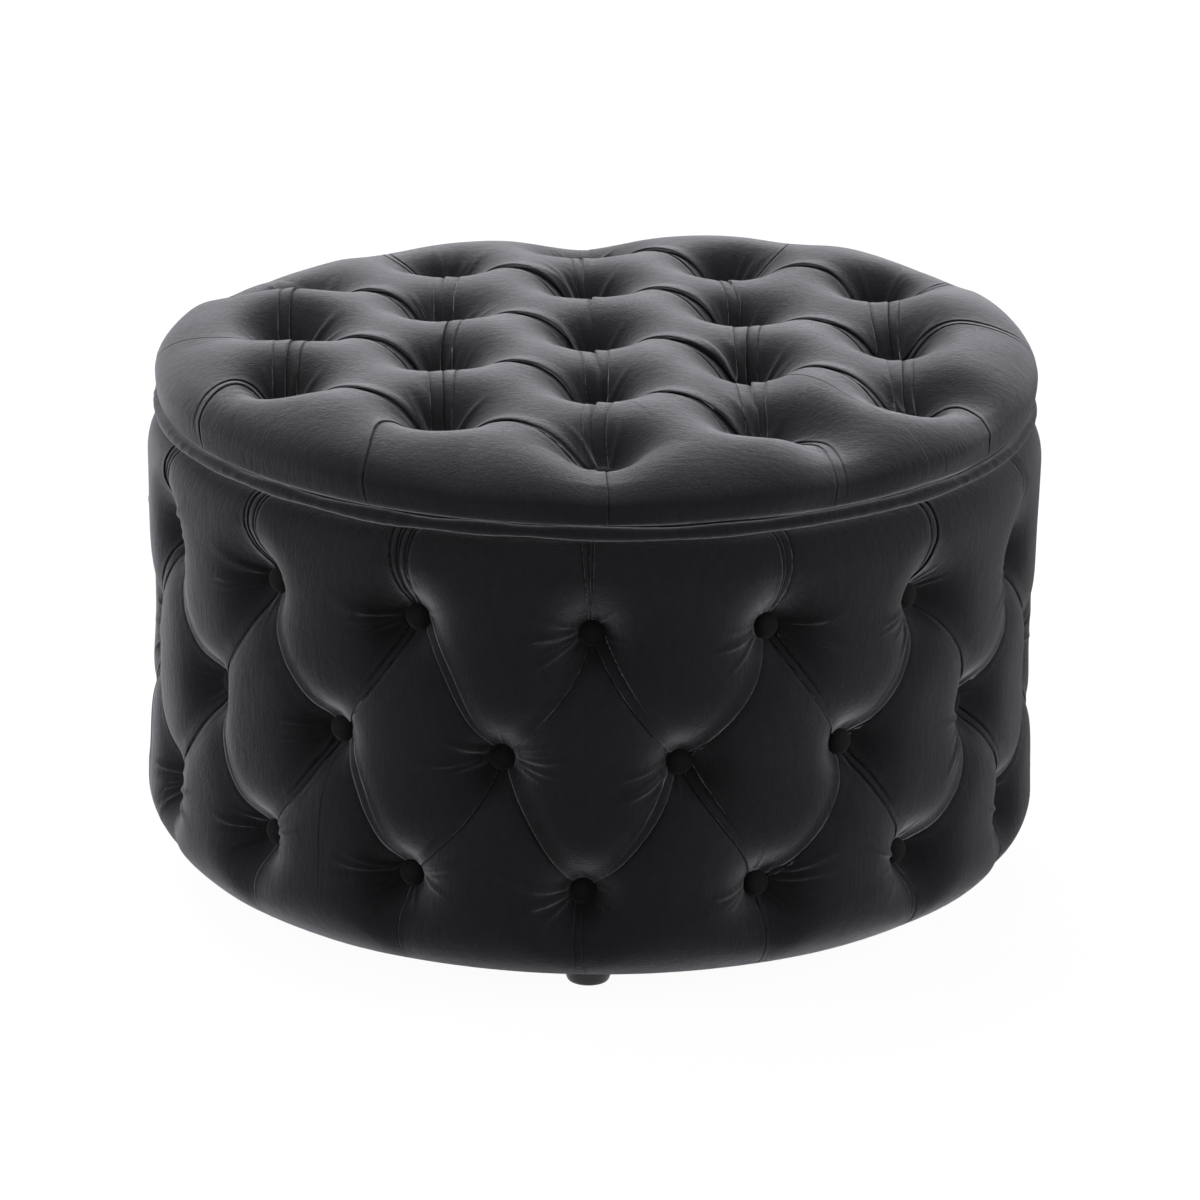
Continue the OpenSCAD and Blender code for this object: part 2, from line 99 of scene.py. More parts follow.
LID_TURN = math.radians(1.9)                   # the lid sits a little turned on the drum


def smooth(x, a, b):
    t = np.clip((x - a) / (b - a), 0, 1)
    return t * t * (3 - 2 * t)


def seeded(*key):
    """A random generator that depends only on the key, so every run gives the same folds."""
    total = sum((i * 7919 + 104729) * (int(k) + 37) for i, k in enumerate(key))
    return np.random.RandomState(total % (2 ** 31))


def round_angles(steps):
    return np.linspace(0, TAU, steps, endpoint=False)


# ---- meshes ----

def add_object(name, data):
    ob = bpy.data.objects.new(name, data)
    bpy.context.scene.collection.objects.link(ob)
    return ob


def mesh_object(name, verts, faces, body, material):
    """A piece on a body, from vertices in mm and a list or an array of faces."""
    mesh = bpy.data.meshes.new(name)
    verts = np.asarray(verts, float) * MM
    if isinstance(faces, np.ndarray):
        n = faces.shape[1]
        mesh.vertices.add(len(verts))
        mesh.vertices.foreach_set("co", verts.ravel())
        mesh.loops.add(faces.size)
        mesh.loops.foreach_set("vertex_index", faces.ravel().astype(np.int32))
        mesh.polygons.add(len(faces))
        mesh.polygons.foreach_set("loop_start", np.arange(0, faces.size, n, dtype=np.int32))
        mesh.polygons.foreach_set("loop_total", np.full(len(faces), n, dtype=np.int32))
        mesh.update(calc_edges=True)
    else:
        mesh.from_pydata(verts.tolist(), [], faces)
    mesh.validate()
    mesh.polygons.foreach_set("use_smooth", [True] * len(mesh.polygons))
    ob = add_object(name, mesh)
    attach(ob, body)
    mesh.materials.append(material)
    return ob


def grid_faces(ids):
    """Quads of a grid of vertex numbers."""
    return np.stack([ids[:-1, :-1], ids[1:, :-1], ids[1:, 1:], ids[:-1, 1:]], -1).reshape(-1, 4)


def revolve(name, profile, body, material, wobble, steps=720):
    """A lathe piece round Z from (r, z) points in mm; wobble moves the points."""
    prof = np.asarray(profile, float)
    a = round_angles(steps)
    r = np.repeat(prof[None, :, 0], steps, 0)
    z = np.repeat(prof[None, :, 1], steps, 0)
    dr, dz = wobble(a[:, None], r, z)
    r, z = r + dr, z + dz
    xyz = np.stack([r * np.sin(a)[:, None], -r * np.cos(a)[:, None], z], -1).reshape(-1, 3)
    ids = np.arange(steps * len(prof)).reshape(steps, len(prof))
    ids = np.vstack([ids, ids[:1]])
    return mesh_object(name, xyz, grid_faces(ids), body, material)


# ---- quilting: sheets made of four-sided patches that meet in pleats ----

def spread(length, ends, step):
    """Parameters from 0 to 1 along a line, closer together at the ends that are asked for."""
    half = [d for d in NEAR if d < length * 0.45]
    left = half if ends[0] else [0.0]
    right = [length - d for d in half][::-1] if ends[1] else [length]
    count = max(2, int(round((right[0] - left[-1]) / step)))
    middle = np.linspace(left[-1], right[0], count + 1)[1:-1]
    return np.concatenate([left, middle, right]) / length


class Line:
    """One side of a patch: a pleat, a soft line or a free edge, from start to end in the flat cloth.

    fold holds knife pleats: offset at start and end, strength at start, middle and end, and size.
    valley is the share of the depth by which the cloth sinks along the line at start, middle and end.
    """

    def __init__(self, key, ends, start, end, t, bow=0.0, swing=0.0, lean=1, fold=None, valley=None,
                 width=16.0, arc=None, lift=0.0):
        self.key, self.ends, self.t, self.arc = key, ends, t, arc
        self.start, self.end = np.array(start, float), np.array(end, float)
        along = self.end - self.start
        self.left = np.array([-along[1], along[0]]) / np.linalg.norm(along)
        self.bow, self.swing, self.lean = bow, swing, lean
        self.fold, self.valley, self.width, self.lift = fold, valley, width, lift
        self.curve = self.at(np.linspace(0, 1, 33))

    def at(self, t):
        t = np.asarray(t)[:, None]
        if self.arc:             # round the middle at this radius
            a0, a1 = (math.atan2(e[1], e[0]) for e in (self.start, self.end))
            a = a0 + ((a1 - a0 + math.pi) % TAU - math.pi) * t
            return self.arc * np.hstack([np.cos(a), np.sin(a)])
        side = self.bow * 4 * t * (1 - t) + self.swing * np.sin(TAU * t)
        return self.start + (self.end - self.start) * t + self.left * side

    def near(self, p):
        """Signed distance (left positive), parameter of the nearest point, and the way to the left."""
        c = self.curve
        seg = c[1:] - c[:-1]
        rel = p[:, None, :] - c[None, :-1, :]
        t = np.clip((rel * seg).sum(2) / (seg ** 2).sum(1), 0, 1)
        off = rel - t[..., None] * seg
        d2 = (off ** 2).sum(2)
        j = d2.argmin(1)
        i = np.arange(len(p))
        s = seg[j]
        left = np.stack([-s[:, 1], s[:, 0]], 1) / np.linalg.norm(s, axis=1)[:, None]
        side = np.sign((rel[i, j] * left).sum(1))
        return side * np.sqrt(d2[i, j]), (j + t[i, j]) / len(seg), left

    def close(self, p, reach):
        """Numbers of the points that may lie within reach."""
        low, high = self.curve.min(0) - reach, self.curve.max(0) + reach
        return np.nonzero(((p > low) & (p < high)).all(1))[0]


# Knife pleat: how far the cloth moves sideways and up at a signed distance from the pleat.
# The cloth on the positive side overhangs as a lip, and the other side runs in under it.
PLEAT_D = [-9, -6, -4.5, -3.2, -2.2, -1.4, -0.8, -0.3, 0.1, 0.5, 0.9, 1.3, 1.8, 2.5, 3.6, 5.5, 8, 10]
PLEAT_SIDE = [0, 0.5, 1.0, 1.6, 2.6, 3.4, 3.6, 3.0, 1.4, -0.5, -2.1, -3.0, -3.0, -1.9, -1.0, -0.4, -0.1, 0]
PLEAT_UP = [0, -0.1, -0.6, -1.4, -2.2, -2.8, -2.5, -1.6, -0.9, -0.3, 0.0, 0.4, 0.7, 0.7, 0.5, 0.2, 0.0, 0]


def pleat_shift(d, size):
    x = d / size
    return np.interp(x, PLEAT_D, PLEAT_SIDE) * size, np.interp(x, PLEAT_D, PLEAT_UP) * size


class Quilt:
    """Collects patches. Lines and corners with one key share their vertices."""

    def __init__(self, place):
        self.place, self.ids, self.total, self.parts, self.faces = place, {}, 0, [], []

    def new_ids(self, n):
        self.total += n
        return np.arange(self.total - n, self.total)

    def line_ids(self, line, turned):
        if line.key not in self.ids:
            for c in line.ends:
                if c not in self.ids:
                    self.ids[c] = self.new_ids(1)[0]
            inner = self.new_ids(len(line.t) - 2)
            self.ids[line.key] = np.concatenate([[self.ids[line.ends[0]]], inner, [self.ids[line.ends[1]]]])
        ids = self.ids[line.key]
        return ids[::-1] if turned else ids

    def patch(self, low, high, first, last):
        """Each side is (line, turned): low and high run along u at v=0 and v=1, first and last along v."""
        def run(line, turned):
            t = 1 - line.t[::-1] if turned else line.t
            pts = line.at(line.t)
            return (pts[::-1] if turned else pts), t
        c0, u = run(*low)
        c1, u1 = run(*high)
        d0, v = run(*first)
        d1, _ = run(*last)
        uu, vv = ((u + u1) / 2)[:, None, None], v[None, :, None]
        flat = ((1 - vv) * c0[:, None] + vv * c1[:, None] + (1 - uu) * d0[None] + uu * d1[None]
                - ((1 - uu) * (1 - vv) * c0[0] + uu * (1 - vv) * c0[-1]
                   + (1 - uu) * vv * c1[0] + uu * vv * c1[-1]))
        n, m = len(u), len(v)
        ids = np.empty((n, m), int)
        ids[1:-1, 1:-1] = self.new_ids((n - 2) * (m - 2)).reshape(n - 2, m - 2)
        ids[:, 0], ids[:, -1] = self.line_ids(*low), self.line_ids(*high)
        ids[0, :], ids[-1, :] = self.line_ids(*first), self.line_ids(*last)
        xyz, out = self.place(flat.reshape(-1, 2), flat[n // 2, m // 2])
        self.parts.append((ids.ravel(), xyz))
        g = xyz.reshape(n, m, 3)
        i, j = n // 2, m // 2
        normal = np.cross(g[i + 1, j] - g[i, j], g[i, j + 1] - g[i, j])
        quads = grid_faces(ids)
        self.faces.append(quads if normal @ out > 0 else quads[:, ::-1])

    def build(self, name, body):
        pos = np.zeros((self.total, 3))
        for ids, xyz in self.parts:
            pos[ids] = xyz
        return mesh_object(name, pos, np.concatenate(self.faces), body, VELVET)


def ridges(p, centre, folds):
    """Rise of the tension folds that run out from a button: (angle, curl, length, height, width)."""
    rel = p - centre
    r = np.hypot(rel[:, 0], rel[:, 1])
    up = np.zeros(len(p))
    close = r < 80
    if not close.any():
        return up
    rel, rr = rel[close], r[close]
    a = np.arctan2(rel[:, 1], rel[:, 0])
    total = np.zeros(len(rr))
    for angle, curl, length, height, width in folds:
        off = (a - angle - curl * (rr / 40) + math.pi) % TAU - math.pi
        across = off * rr
        w = width * (0.7 + rr / 90)
        window = smooth(rr, 9.5, 17) * (1 - smooth(rr, 0.35 * length, length))
        total += height * window * np.exp(-0.5 * (across / w) ** 2)
    up[close] = total
    return up


def wander(p, key, size, height):
    """Slow unevenness of the filling."""
    rnd = seeded(key, 5)
    out = np.zeros(len(p))
    for _ in range(7):
        k = rnd.normal(0, 1.6 / size, p.shape[1])
        out += np.sin(p @ k + rnd.uniform(0, TAU))
    return out * height / 2.6


# Distances from a button at which a line has vertices, and the step between them farther away
NEAR = [0, 0.35, 0.8, 1.3, 1.9, 2.6, 3.4, 4.3, 5.4, 6.7, *np.arange(7.9, 50, 1.05)]
STEP = 2.6


# ---- the tufted side of the drum ----
# Flat cloth: x runs round the drum at SIDE_FLAT_R, y is the height along the profile.
SIDE_FLAT_R = 356.0
SIDE_P = TAU * SIDE_FLAT_R / TUFTS
ROLL_W, ROLL_H, ROLL_LOW = 70.0, 62.0, 20.0     # rounding of the lower edge, and its lowest z
SHOULDER_W, SHOULDER_H = 22.0, 34.0             # rounding under the lid
FULL_R = DRUM_R + 3.5     # a filled cell bulges a little past the drum's nominal radius
ROW_LEAN = 5.0            # how far the rows run down to the right


def side_profile():
    """The padded outline from the base board up to the rim: height along it, radius, z."""
    pts = [(329.5, 28.6), (332.0, 26.6)]                 # turned in under the base board
    squareness = 2 / 2.2                                 # the lower roll is fuller than an ellipse
    for a in np.radians(np.linspace(70, 0, 24)):
        pts.append((FULL_R - ROLL_W + ROLL_W * math.cos(a) ** squareness,
                    ROLL_LOW + ROLL_H - ROLL_H * math.sin(a) ** squareness))
    shoulder_z = PAD_TOP - SHOULDER_H
    pts += [(FULL_R, z) for z in np.linspace(ROLL_LOW + ROLL_H, shoulder_z, 60)[1:-1]]
    for a in np.radians(np.linspace(0, 90, 16)):
        pts.append((FULL_R - SHOULDER_W * (1 - math.cos(a)), shoulder_z + SHOULDER_H * math.sin(a)))
    pts += [(349.0, PAD_TOP + 0.2), (344.0, PAD_TOP + 0.6)]
    pts = np.array(pts)
    run = np.concatenate([[0], np.cumsum(np.hypot(*np.diff(pts, axis=0).T))])
    upright = np.argmin(np.abs(pts[:, 1] - 150))         # there, height along the outline is z
    return run - (run[upright] - pts[upright, 1]), pts[:, 0], pts[:, 1]


SIDE_Q, SIDE_PR, SIDE_PZ = side_profile()


def on_profile(q, table_q, table_r, table_z):
    """Radius, height and outward normal on a profile."""
    r, z = np.interp(q, table_q, table_r), np.interp(q, table_q, table_z)
    e = 2.0
    dr = np.interp(q + e, table_q, table_r) - np.interp(q - e, table_q, table_r)
    dz = np.interp(q + e, table_q, table_z) - np.interp(q - e, table_q, table_z)
    n = np.hypot(dr, dz) + 1e-9
    return r, z, dz / n, -dr / n


# How far each row of the hand-set tufts lies off its even place: along the cloth and up
ROW_OFF = [(-5.0, 0.5), (0.0, 3.0), (0.0, 1.5)]


def side_button(row, k):
    """Place of a button in the flat cloth. The rows run a little down to the right."""
    x = (k + (0.5 if row == 1 else 0.0)) * SIDE_P + ROW_OFF[row][0]
    return np.array([x, ROW_Z[row] + ROW_OFF[row][1] - ROW_LEAN * math.sin(x / SIDE_FLAT_R)])


SIDE_TOP_Q, SIDE_LOW_Q = SIDE_Q[-1], SIDE_Q[0]
T_DIAG = spread(132, (True, True), STEP)
T_SIDE = spread(118, (True, False), STEP * 1.15)
LINES = {}


# The lines of the side's quilting. A kind's place here seeds its folds, and the first six have pleats.
SIDE_KINDS = ("low_right", "low_left", "high_right", "high_left", "top_pleat", "low_pleat", "soft_up",
              "soft_down", "top_edge_left", "top_edge_right", "low_edge_left", "low_edge_right")
# Row and step of the two buttons that a diagonal joins
DIAGONALS = {"low_right": ((0, 0), (1, 0)), "low_left": ((0, 0), (1, -1)),
             "high_right": ((1, 0), (2, 1)), "high_left": ((1, 0), (2, 0))}


def diagonal_folds(rnd):
    """A diagonal's valley and its knife pleat, at times with a finer one beside it."""
    fade = rnd.uniform(0.55, 1.0)
    valley = (0.28, rnd.uniform(0.14, 0.19), 0.28)
    fold = [(0, 0, rnd.uniform(0.7, 0.9), fade, rnd.uniform(0.7, 0.9), rnd.uniform(1.2, 1.7))]
    if rnd.uniform() < 0.4:
        fold.append((rnd.uniform(-7, -5), 0.0, 0.8, 0.3, 0.0, rnd.uniform(0.75, 0.9)))
    if rnd.uniform() < 0.4:
        fold.append((3.0, rnd.uniform(5, 10), 0.0, 0.2, 0.8, rnd.uniform(0.75, 0.9)))
    return dict(fold=fold, valley=valley, width=15.0)


def side_line(kind, k):
    """A line of the side's quilting. Pleats sag, and the cloth above them lies over the cloth below."""
    if (kind, k) in LINES:
        return LINES[kind, k]
    m = k % TUFTS
    key = (kind, m)
    rnd = seeded(SIDE_KINDS.index(kind) + 1, m)
    folds = diagonal_folds(rnd)
    x0, x1 = k * SIDE_P, (k + 0.5) * SIDE_P
    if kind in DIAGONALS:
        (row0, step0), (row1, step1) = DIAGONALS[kind]
        ends = ((row0, (k + step0) % TUFTS), (row1, (k + step1) % TUFTS))
        if kind.endswith("right"):
            sag = dict(bow=-rnd.uniform(5, 12), swing=rnd.uniform(-1.5, 2), lean=-1)
        else:
            sag = dict(bow=rnd.uniform(-7, 5), swing=rnd.uniform(-2, 3), lean=1)
        line = Line(key, ends, side_button(row0, k + step0), side_button(row1, k + step1), T_DIAG,
                    **sag, **folds)
    elif kind == "top_pleat":
        fold = []
        for j in range(rnd.randint(3, 6)):
            o = (j - 1.6) * 3.1 + rnd.uniform(-0.7, 0.7)
            fold.append((o * 0.6, o * rnd.uniform(0.9, 2.0), rnd.uniform(0.7, 0.9), rnd.uniform(0.3, 0.8),
                         rnd.uniform(0.0, 0.4), rnd.uniform(0.7, 0.85)))
        end = (x0 + rnd.uniform(-3, 3), SIDE_TOP_Q)
        line = Line(key, ((2, m), ("top", m)), side_button(2, k), end, T_SIDE, bow=rnd.uniform(-2.5, 2.5),
                    lean=1 if rnd.uniform() < 0.5 else -1, fold=fold, valley=(0.32, 0.10, 0.03), width=20.0)
    elif kind == "low_pleat":
        fold = [(0, rnd.uniform(-2, 2), 0.9, 0.6, 0.4, 0.6)]
        if rnd.uniform() < 0.3:
            fold.append((5, 8, 0.5, 0.3, 0.1, 0.8))
        end = (x0 + rnd.uniform(-6, 6), SIDE_LOW_Q)
        line = Line(key, ((0, m), ("low", m)), side_button(0, k), end, T_SIDE, bow=rnd.uniform(-4, 4),
                    lean=1 if rnd.uniform() < 0.6 else -1, fold=fold, valley=(0.32, 0.12, 0.06), width=20.0)
    elif kind.startswith("soft"):
        edge, q = ("top", SIDE_TOP_Q) if kind == "soft_up" else ("low", SIDE_LOW_Q)
        line = Line(key, ((1, m), (edge + "_mid", m)), side_button(1, k), (x1, q), T_SIDE)
    else:                    # half a pitch of the free edge, between a pleat and the middle
        edge, q = ("top", SIDE_TOP_Q) if kind.startswith("top") else ("low", SIDE_LOW_Q)
        mid = (edge + "_mid", m)
        if kind.endswith("left"):
            line = Line(key, ((edge, m), mid), side_line(edge + "_pleat", k).end, (x1, q), T_DIAG)
        else:
            line = Line(key, (mid, (edge, (k + 1) % TUFTS)), (x1, q), side_line(edge + "_pleat", k + 1).end,
                        T_DIAG)
    LINES[kind, k] = line
    return line


def side_folds(row, k):
    """The tension folds round one side button."""
    rnd = seeded(row + 3, k % TUFTS, 11)
    folds = []
    for side in (0, math.pi):
        if rnd.uniform() < 0.2:
            continue
        a = side - 0.45 + rnd.uniform(-0.2, 0.2)
        for _ in range(rnd.randint(4, 7)):
            a += rnd.uniform(0.15, 0.24)
            folds.append((a, rnd.uniform(-0.12, 0.12), rnd.uniform(40, 80), rnd.uniform(2.0, 3.4),
                          rnd.uniform(1.3, 1.6)))
    for _ in range(rnd.randint(5, 9)):
        folds.append((rnd.uniform(0, TAU), rnd.uniform(-0.15, 0.15), rnd.uniform(24, 44),
                      rnd.uniform(0.8, 1.6), 1.1))
    return folds


SIDE_FOLDS = {(row, k): side_folds(row, k) for row in range(3) for k in range(TUFTS)}
SIDE_PLEATS = [side_line(kind, k) for kind in SIDE_KINDS[:6] for k in range(-2, TUFTS + 3)]


def pit(d):
    """Share of the tuft's depth at a distance from a side button."""
    return 1 / (1 + (np.clip(d - 7, 0, None) / 18.5) ** 1.75)


def edge_blend(t, three):
    return np.interp(t, [0, 0.5, 1], three)


def add_folds(line, d, t, left, there, window, up, shift):
    """Adds a line's knife pleats to the cloth's rise and sideways shift at the points there."""
    pick = np.abs(d) < 26
    if not line.fold or not pick.any():
        return
    d, t, left, there, window = d[pick], t[pick], left[pick], there[pick], window[pick]
    for o0, o1, a0, a1, a2, size in line.fold:
        off = -line.lean * d - (o0 + (o1 - o0) * t)
        share = edge_blend(t, (a0, a1, a2)) * window
        least = 0.45 if max(abs(o0), abs(o1)) < 3 else 0.85            # beside the line the mesh is coarser
        sx, sz = pleat_shift(off, size * np.clip(share, least, None))  # a pleat narrows first, then fades
        amp = np.clip(share / least, 0, 1)
        up[there] += sz * amp
        shift[there] -= left * (line.lean * sx * amp)[:, None]


def place_side(p, middle):
    """Flat cloth to the tufted drum, in mm."""
    x, q = p[:, 0], p[:, 1]
    keep = np.ones(len(p))
    up = np.zeros(len(p))
    shift = np.zeros((len(p), 2))
    clear = np.full(len(p), 1e9)
    for row in range(3):
        for k in range(-2, TUFTS + 3):
            c = side_button(row, k)
            if abs(c[0] - middle[0]) > 1.3 * SIDE_P or abs(c[1] - middle[1]) > 260:
                continue                                  # too far away to shape this patch
            d = np.hypot(x - c[0], q - c[1])
            clear = np.minimum(clear, d)
            keep *= 1 - pit(d)
            up += ridges(p, c, SIDE_FOLDS[row, k % TUFTS])
    for line in SIDE_PLEATS:
        c = (line.start + line.end) / 2
        if abs(c[0] - middle[0]) > 1.1 * SIDE_P or abs(c[1] - middle[1]) > 220:
            continue
        there = line.close(p, 2.6 * line.width)
        if not len(there):
            continue
        d, t, left = line.near(p[there])
        bare = np.abs(d)
        keep[there] *= 1 - edge_blend(t, line.valley) * np.exp(-(bare / line.width) ** 1.7)
        add_folds(line, d, t, left, there, smooth(clear[there], 8.5, 14), up, shift)
    low = 1 - (1 - pit(74.0)) ** 3.0          # what the far tufts take off everywhere
    share = (1 - keep - low) / (1 - low)
    depth = (FULL_R - SEAT_R) * (share + np.sqrt(share ** 2 + 0.003)) / 2
    a = x / SIDE_FLAT_R
    puff = wander(np.stack([np.sin(a) * SIDE_FLAT_R, np.cos(a) * SIDE_FLAT_R, q], 1), 3, 60, 0.8)
    window = smooth(clear, 10, 30)
    x, q = x + shift[:, 0], q + shift[:, 1]
    r, z, nr, nz = on_profile(q, SIDE_Q, SIDE_PR, SIDE_PZ)
    ends = smooth(q, SIDE_LOW_Q, SIDE_LOW_Q + 40) * smooth(-q, -SIDE_TOP_Q, -SIDE_TOP_Q + 14)
    out = (up - depth) * ends + puff * window * ends
    r, z = r + nr * out, z + nz * out
    a = x / SIDE_FLAT_R
    am = middle[0] / SIDE_FLAT_R
    return (np.stack([r * np.sin(a), -r * np.cos(a), z], 1),
            np.array([math.sin(am), -math.cos(am), 0.0]))


def make_side():
    quilt = Quilt(place_side)

    def at(kind, k, turned=False):
        return side_line(kind, k), turned
    for k in range(TUFTS):
        quilt.patch(at("low_right", k), at("high_right", k - 1), at("low_left", k), at("high_left", k))
        quilt.patch(at("high_left", k), at("top_edge_left", k, True), at("soft_up", k), at("top_pleat", k))
        quilt.patch(at("high_right", k), at("top_edge_right", k), at("soft_up", k), at("top_pleat", k + 1))
        quilt.patch(at("low_right", k, True), at("low_edge_left", k, True), at("soft_down", k),
                    at("low_pleat", k))
        quilt.patch(at("low_left", k + 1, True), at("low_edge_right", k), at("soft_down", k),
                    at("low_pleat", k + 1))
    ob = quilt.build("side_velvet", "drum")
    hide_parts("side_cover")


# ---- the tufted lid ----
# Flat cloth: x and y from the middle, as far out as LID_FLAT_R along the lid's outline.

def lid_envelope(r):
    fall = (1 - np.clip(r / LID_R, 0, 1) ** 3.1) ** 0.65
    return BOARD_TOP + (LID_TOP - BOARD_TOP) * (0.22 + 0.78 * fall)


def lid_profile():
    r = np.concatenate([np.arange(0, 250, 5.0), LID_R - (LID_R - 250) * np.linspace(1, 0, 60) ** 2.6])
    pts = list(zip(r, lid_envelope(r)))
    edge_z = pts[-1][1]
    tuck_z = SKIRT_Z - 3.0
    for a in np.radians(np.linspace(6, 90, 14)):
        pts.append((LID_R - 5.5 * (1 - math.cos(a)) ** 0.9, edge_z - (edge_z - tuck_z) * math.sin(a)))
    pts.append((359.0, tuck_z))
    pts = np.array(pts)
    run = np.concatenate([[0], np.cumsum(np.hypot(*np.diff(pts, axis=0).T))])
    return run, pts[:, 0], pts[:, 1]


LID_Q, LID_PR, LID_PZ = lid_profile()
LID_FLAT_R = LID_Q[-1]
LAT_I = np.array([PITCH * math.cos(math.pi / 6), -PITCH / 2])     # towards the front right
LAT_J = np.array([0.0, PITCH])                                    # straight back
LID_NODES = [(i, j) for i in range(-2, 3) for j in range(-2, 3) if abs(i - j) <= 2]


def lat(i, j):
    """Place of a lid button in the flat cloth: the even lattice, a little skewed by hand."""
    x, y = i * LAT_I + j * LAT_J
    return np.array([x * (1 - 0.00012 * y) - 2.0, y - 0.03 * x])


LID_OUTER = sorted([n for n in LID_NODES if max(abs(n[0]), abs(n[1]), abs(n[0] - n[1])) == 2],
                   key=lambda n: math.atan2(*lat(*n)[::-1]) % TAU)
# How far the filling dips along the pleat that runs from an outer button over the rim
RIM_DIPS = {(0, -2): 0.53, (1, -1): 0.66, (2, 0): 0.52, (2, 1): 0.15, (2, 2): 0.15, (1, 2): 0.15, (0, 2): 0.6,
            (-1, 1): 0.15, (-2, 0): 0.52, (-2, -1): 0.1, (-2, -2): 0.0, (-1, -2): 0.12}
# How much fuller or flatter, in mm, the ridge is between a button and the next one behind it
RIDGE_LIFT = {(0, -2): -2, (0, -1): -3.5, (1, -1): -7, (1, 0): -3, (2, 0): -6, (2, 1): -3.5,
              (-1, -2): 4, (-2, -2): 8, (-2, -1): 10}
# Extra fullness of the rim, in mm, at angles from the right side round by the back
RIM_FULL = ([0, 22, 35, 46, 56, 75, 90, 108, 122, 130, 142, 155, 185, 212, 235, 250, 290, 325, 360],
            [14, 21, 16, 15, 13, 5, -1, -1, 2, 3, -1, 12, 9, 12, 8, 0, 0, 2, 14])
T_LAT = spread(PITCH, (True, True), STEP)
T_RIM = spread(135, (True, False), STEP * 1.1)


# The lines of the lid's quilting. A kind's place here seeds its folds.
LID_KINDS = ("slanting", "straight", "rim_pleat", "soft_across", "soft_out", "edge", "half_edge")


def on_rim(p):
    return p / np.linalg.norm(p) * LID_FLAT_R


def rim_end(n):
    """Where the pleat of an outer button meets the rim."""
    return on_rim(lat(*n))


def rim_half(pair):
    """The point of the rim half way between the pleats of two buttons."""
    return on_rim(rim_end(pair[0]) + rim_end(pair[1]))


def lid_line(kind, a, b=None):
    """A line of the lid's quilting, from button a to button b, or out to the rim."""
    key = (kind, a, b)
    if key in LINES:
        return LINES[key]
    rnd = seeded(LID_KINDS.index(kind) + 20, a[0] + 5, a[1] + 5)
    if kind == "slanting":
        fold = [(rnd.uniform(-1, 1), rnd.uniform(-1, 1), 0.5, 1.0, 0.6, rnd.uniform(1.6, 2.0))]
        if rnd.uniform() < 0.6:
            fold.append((-3, rnd.uniform(-14, -10), 0.0, rnd.uniform(0.0, 0.4), 0.7, rnd.uniform(0.85, 1.0)))
        line = Line(key, (a, b), lat(*a), lat(*b), T_LAT, bow=rnd.uniform(6, 12), swing=rnd.uniform(-1, 3),
                    lean=-1, fold=fold, valley=(0.12, rnd.uniform(0.12, 0.18), 0.12), width=46.0)
    elif kind == "straight":
        fold = [(rnd.uniform(-2, 2), rnd.uniform(-2, 2), 0.8, 1.0, 0.8, rnd.uniform(0.85, 1.1))]
        for side in (-1, 1):
            if rnd.uniform() < 0.7:
                o = side * rnd.uniform(6.5, 9)
                fold.append((o, o * rnd.uniform(1.4, 2.2), 0.6, rnd.uniform(0.2, 0.4), 0.0,
                             rnd.uniform(0.8, 0.95)))
        line = Line(key, (a, b), lat(*a), lat(*b), T_LAT, bow=rnd.uniform(-4, 4), swing=rnd.uniform(-3, 3),
                    lean=1 if rnd.uniform() < 0.5 else -1, fold=fold, valley=(0.12, 0.15, 0.12), width=44.0,
                    lift=RIDGE_LIFT.get(a, 0.0))
    elif kind == "rim_pleat":
        p = lat(*a)
        side = -p[1] / np.linalg.norm(p) * p[0]
        bow = 22.0 * np.sign(side) * min(1, abs(p[0]) / 120)
        dip = RIM_DIPS[a]
        front = p[1] < -100
        fold = [(0, rnd.uniform(-2, 2), 0.9, 0.75 if front else 0.2, 0.6 if front else 0.0, 0.85)]
        if rnd.uniform() < 0.4:
            fold.append((5, 9, 0.5, 0.3, 0.0, 0.8))
        line = Line(key, (a, ("rim", a)), p, rim_end(a), T_RIM, bow=bow, swing=0.4 * bow,
                    lean=1 if p[0] < 10 else -1, fold=fold, valley=(dip, 0.7 * dip, 0.0), width=34.0)
    elif kind == "soft_across":      # only a dip, along the short way across a patch
        line = Line(key, (a, b), lat(*a), lat(*b), T_LAT, valley=(0.05, 0.07, 0.05), width=46.0)
    elif kind == "soft_out":         # from an inner button out between two pleats, no dip
        line = Line(key, (a, ("half", b)), lat(*a), rim_half(b), T_RIM)
    elif kind == "edge":             # rim between two pleats
        line = Line(key, (("rim", a), ("rim", b)), rim_end(a), rim_end(b), T_LAT, arc=LID_FLAT_R)
    else:                            # rim from half way to the pleat of a
        line = Line(key, (("half", b), ("rim", a)), rim_half(b), rim_end(a), T_LAT, arc=LID_FLAT_R)
    LINES[key] = line
    return line


def lid_edge_line(a, b):
    """The pleat between two neighbouring buttons and whether it runs from b to a, or None for a soft side."""
    d = (b[0] - a[0], b[1] - a[1])
    kind = "straight" if d[0] == 0 else "slanting"
    if d in ((1, 0), (0, 1)):
        return lid_line(kind, a, b), False
    if d in ((-1, 0), (0, -1)):
        return lid_line(kind, b, a), True
    return None


def lid_neighbours(step):
    return [(n, (n[0] + step[0], n[1] + step[1])) for n in LID_NODES
            if (n[0] + step[0], n[1] + step[1]) in LID_NODES]


LID_PLEATS = ([lid_line("slanting", a, b) for a, b in lid_neighbours((1, 0))]
              + [lid_line("straight", a, b) for a, b in lid_neighbours((0, 1))]
              + [lid_line("rim_pleat", a) for a in LID_OUTER]
              + [lid_line("soft_across", a, b) for a, b in lid_neighbours((1, 1))])


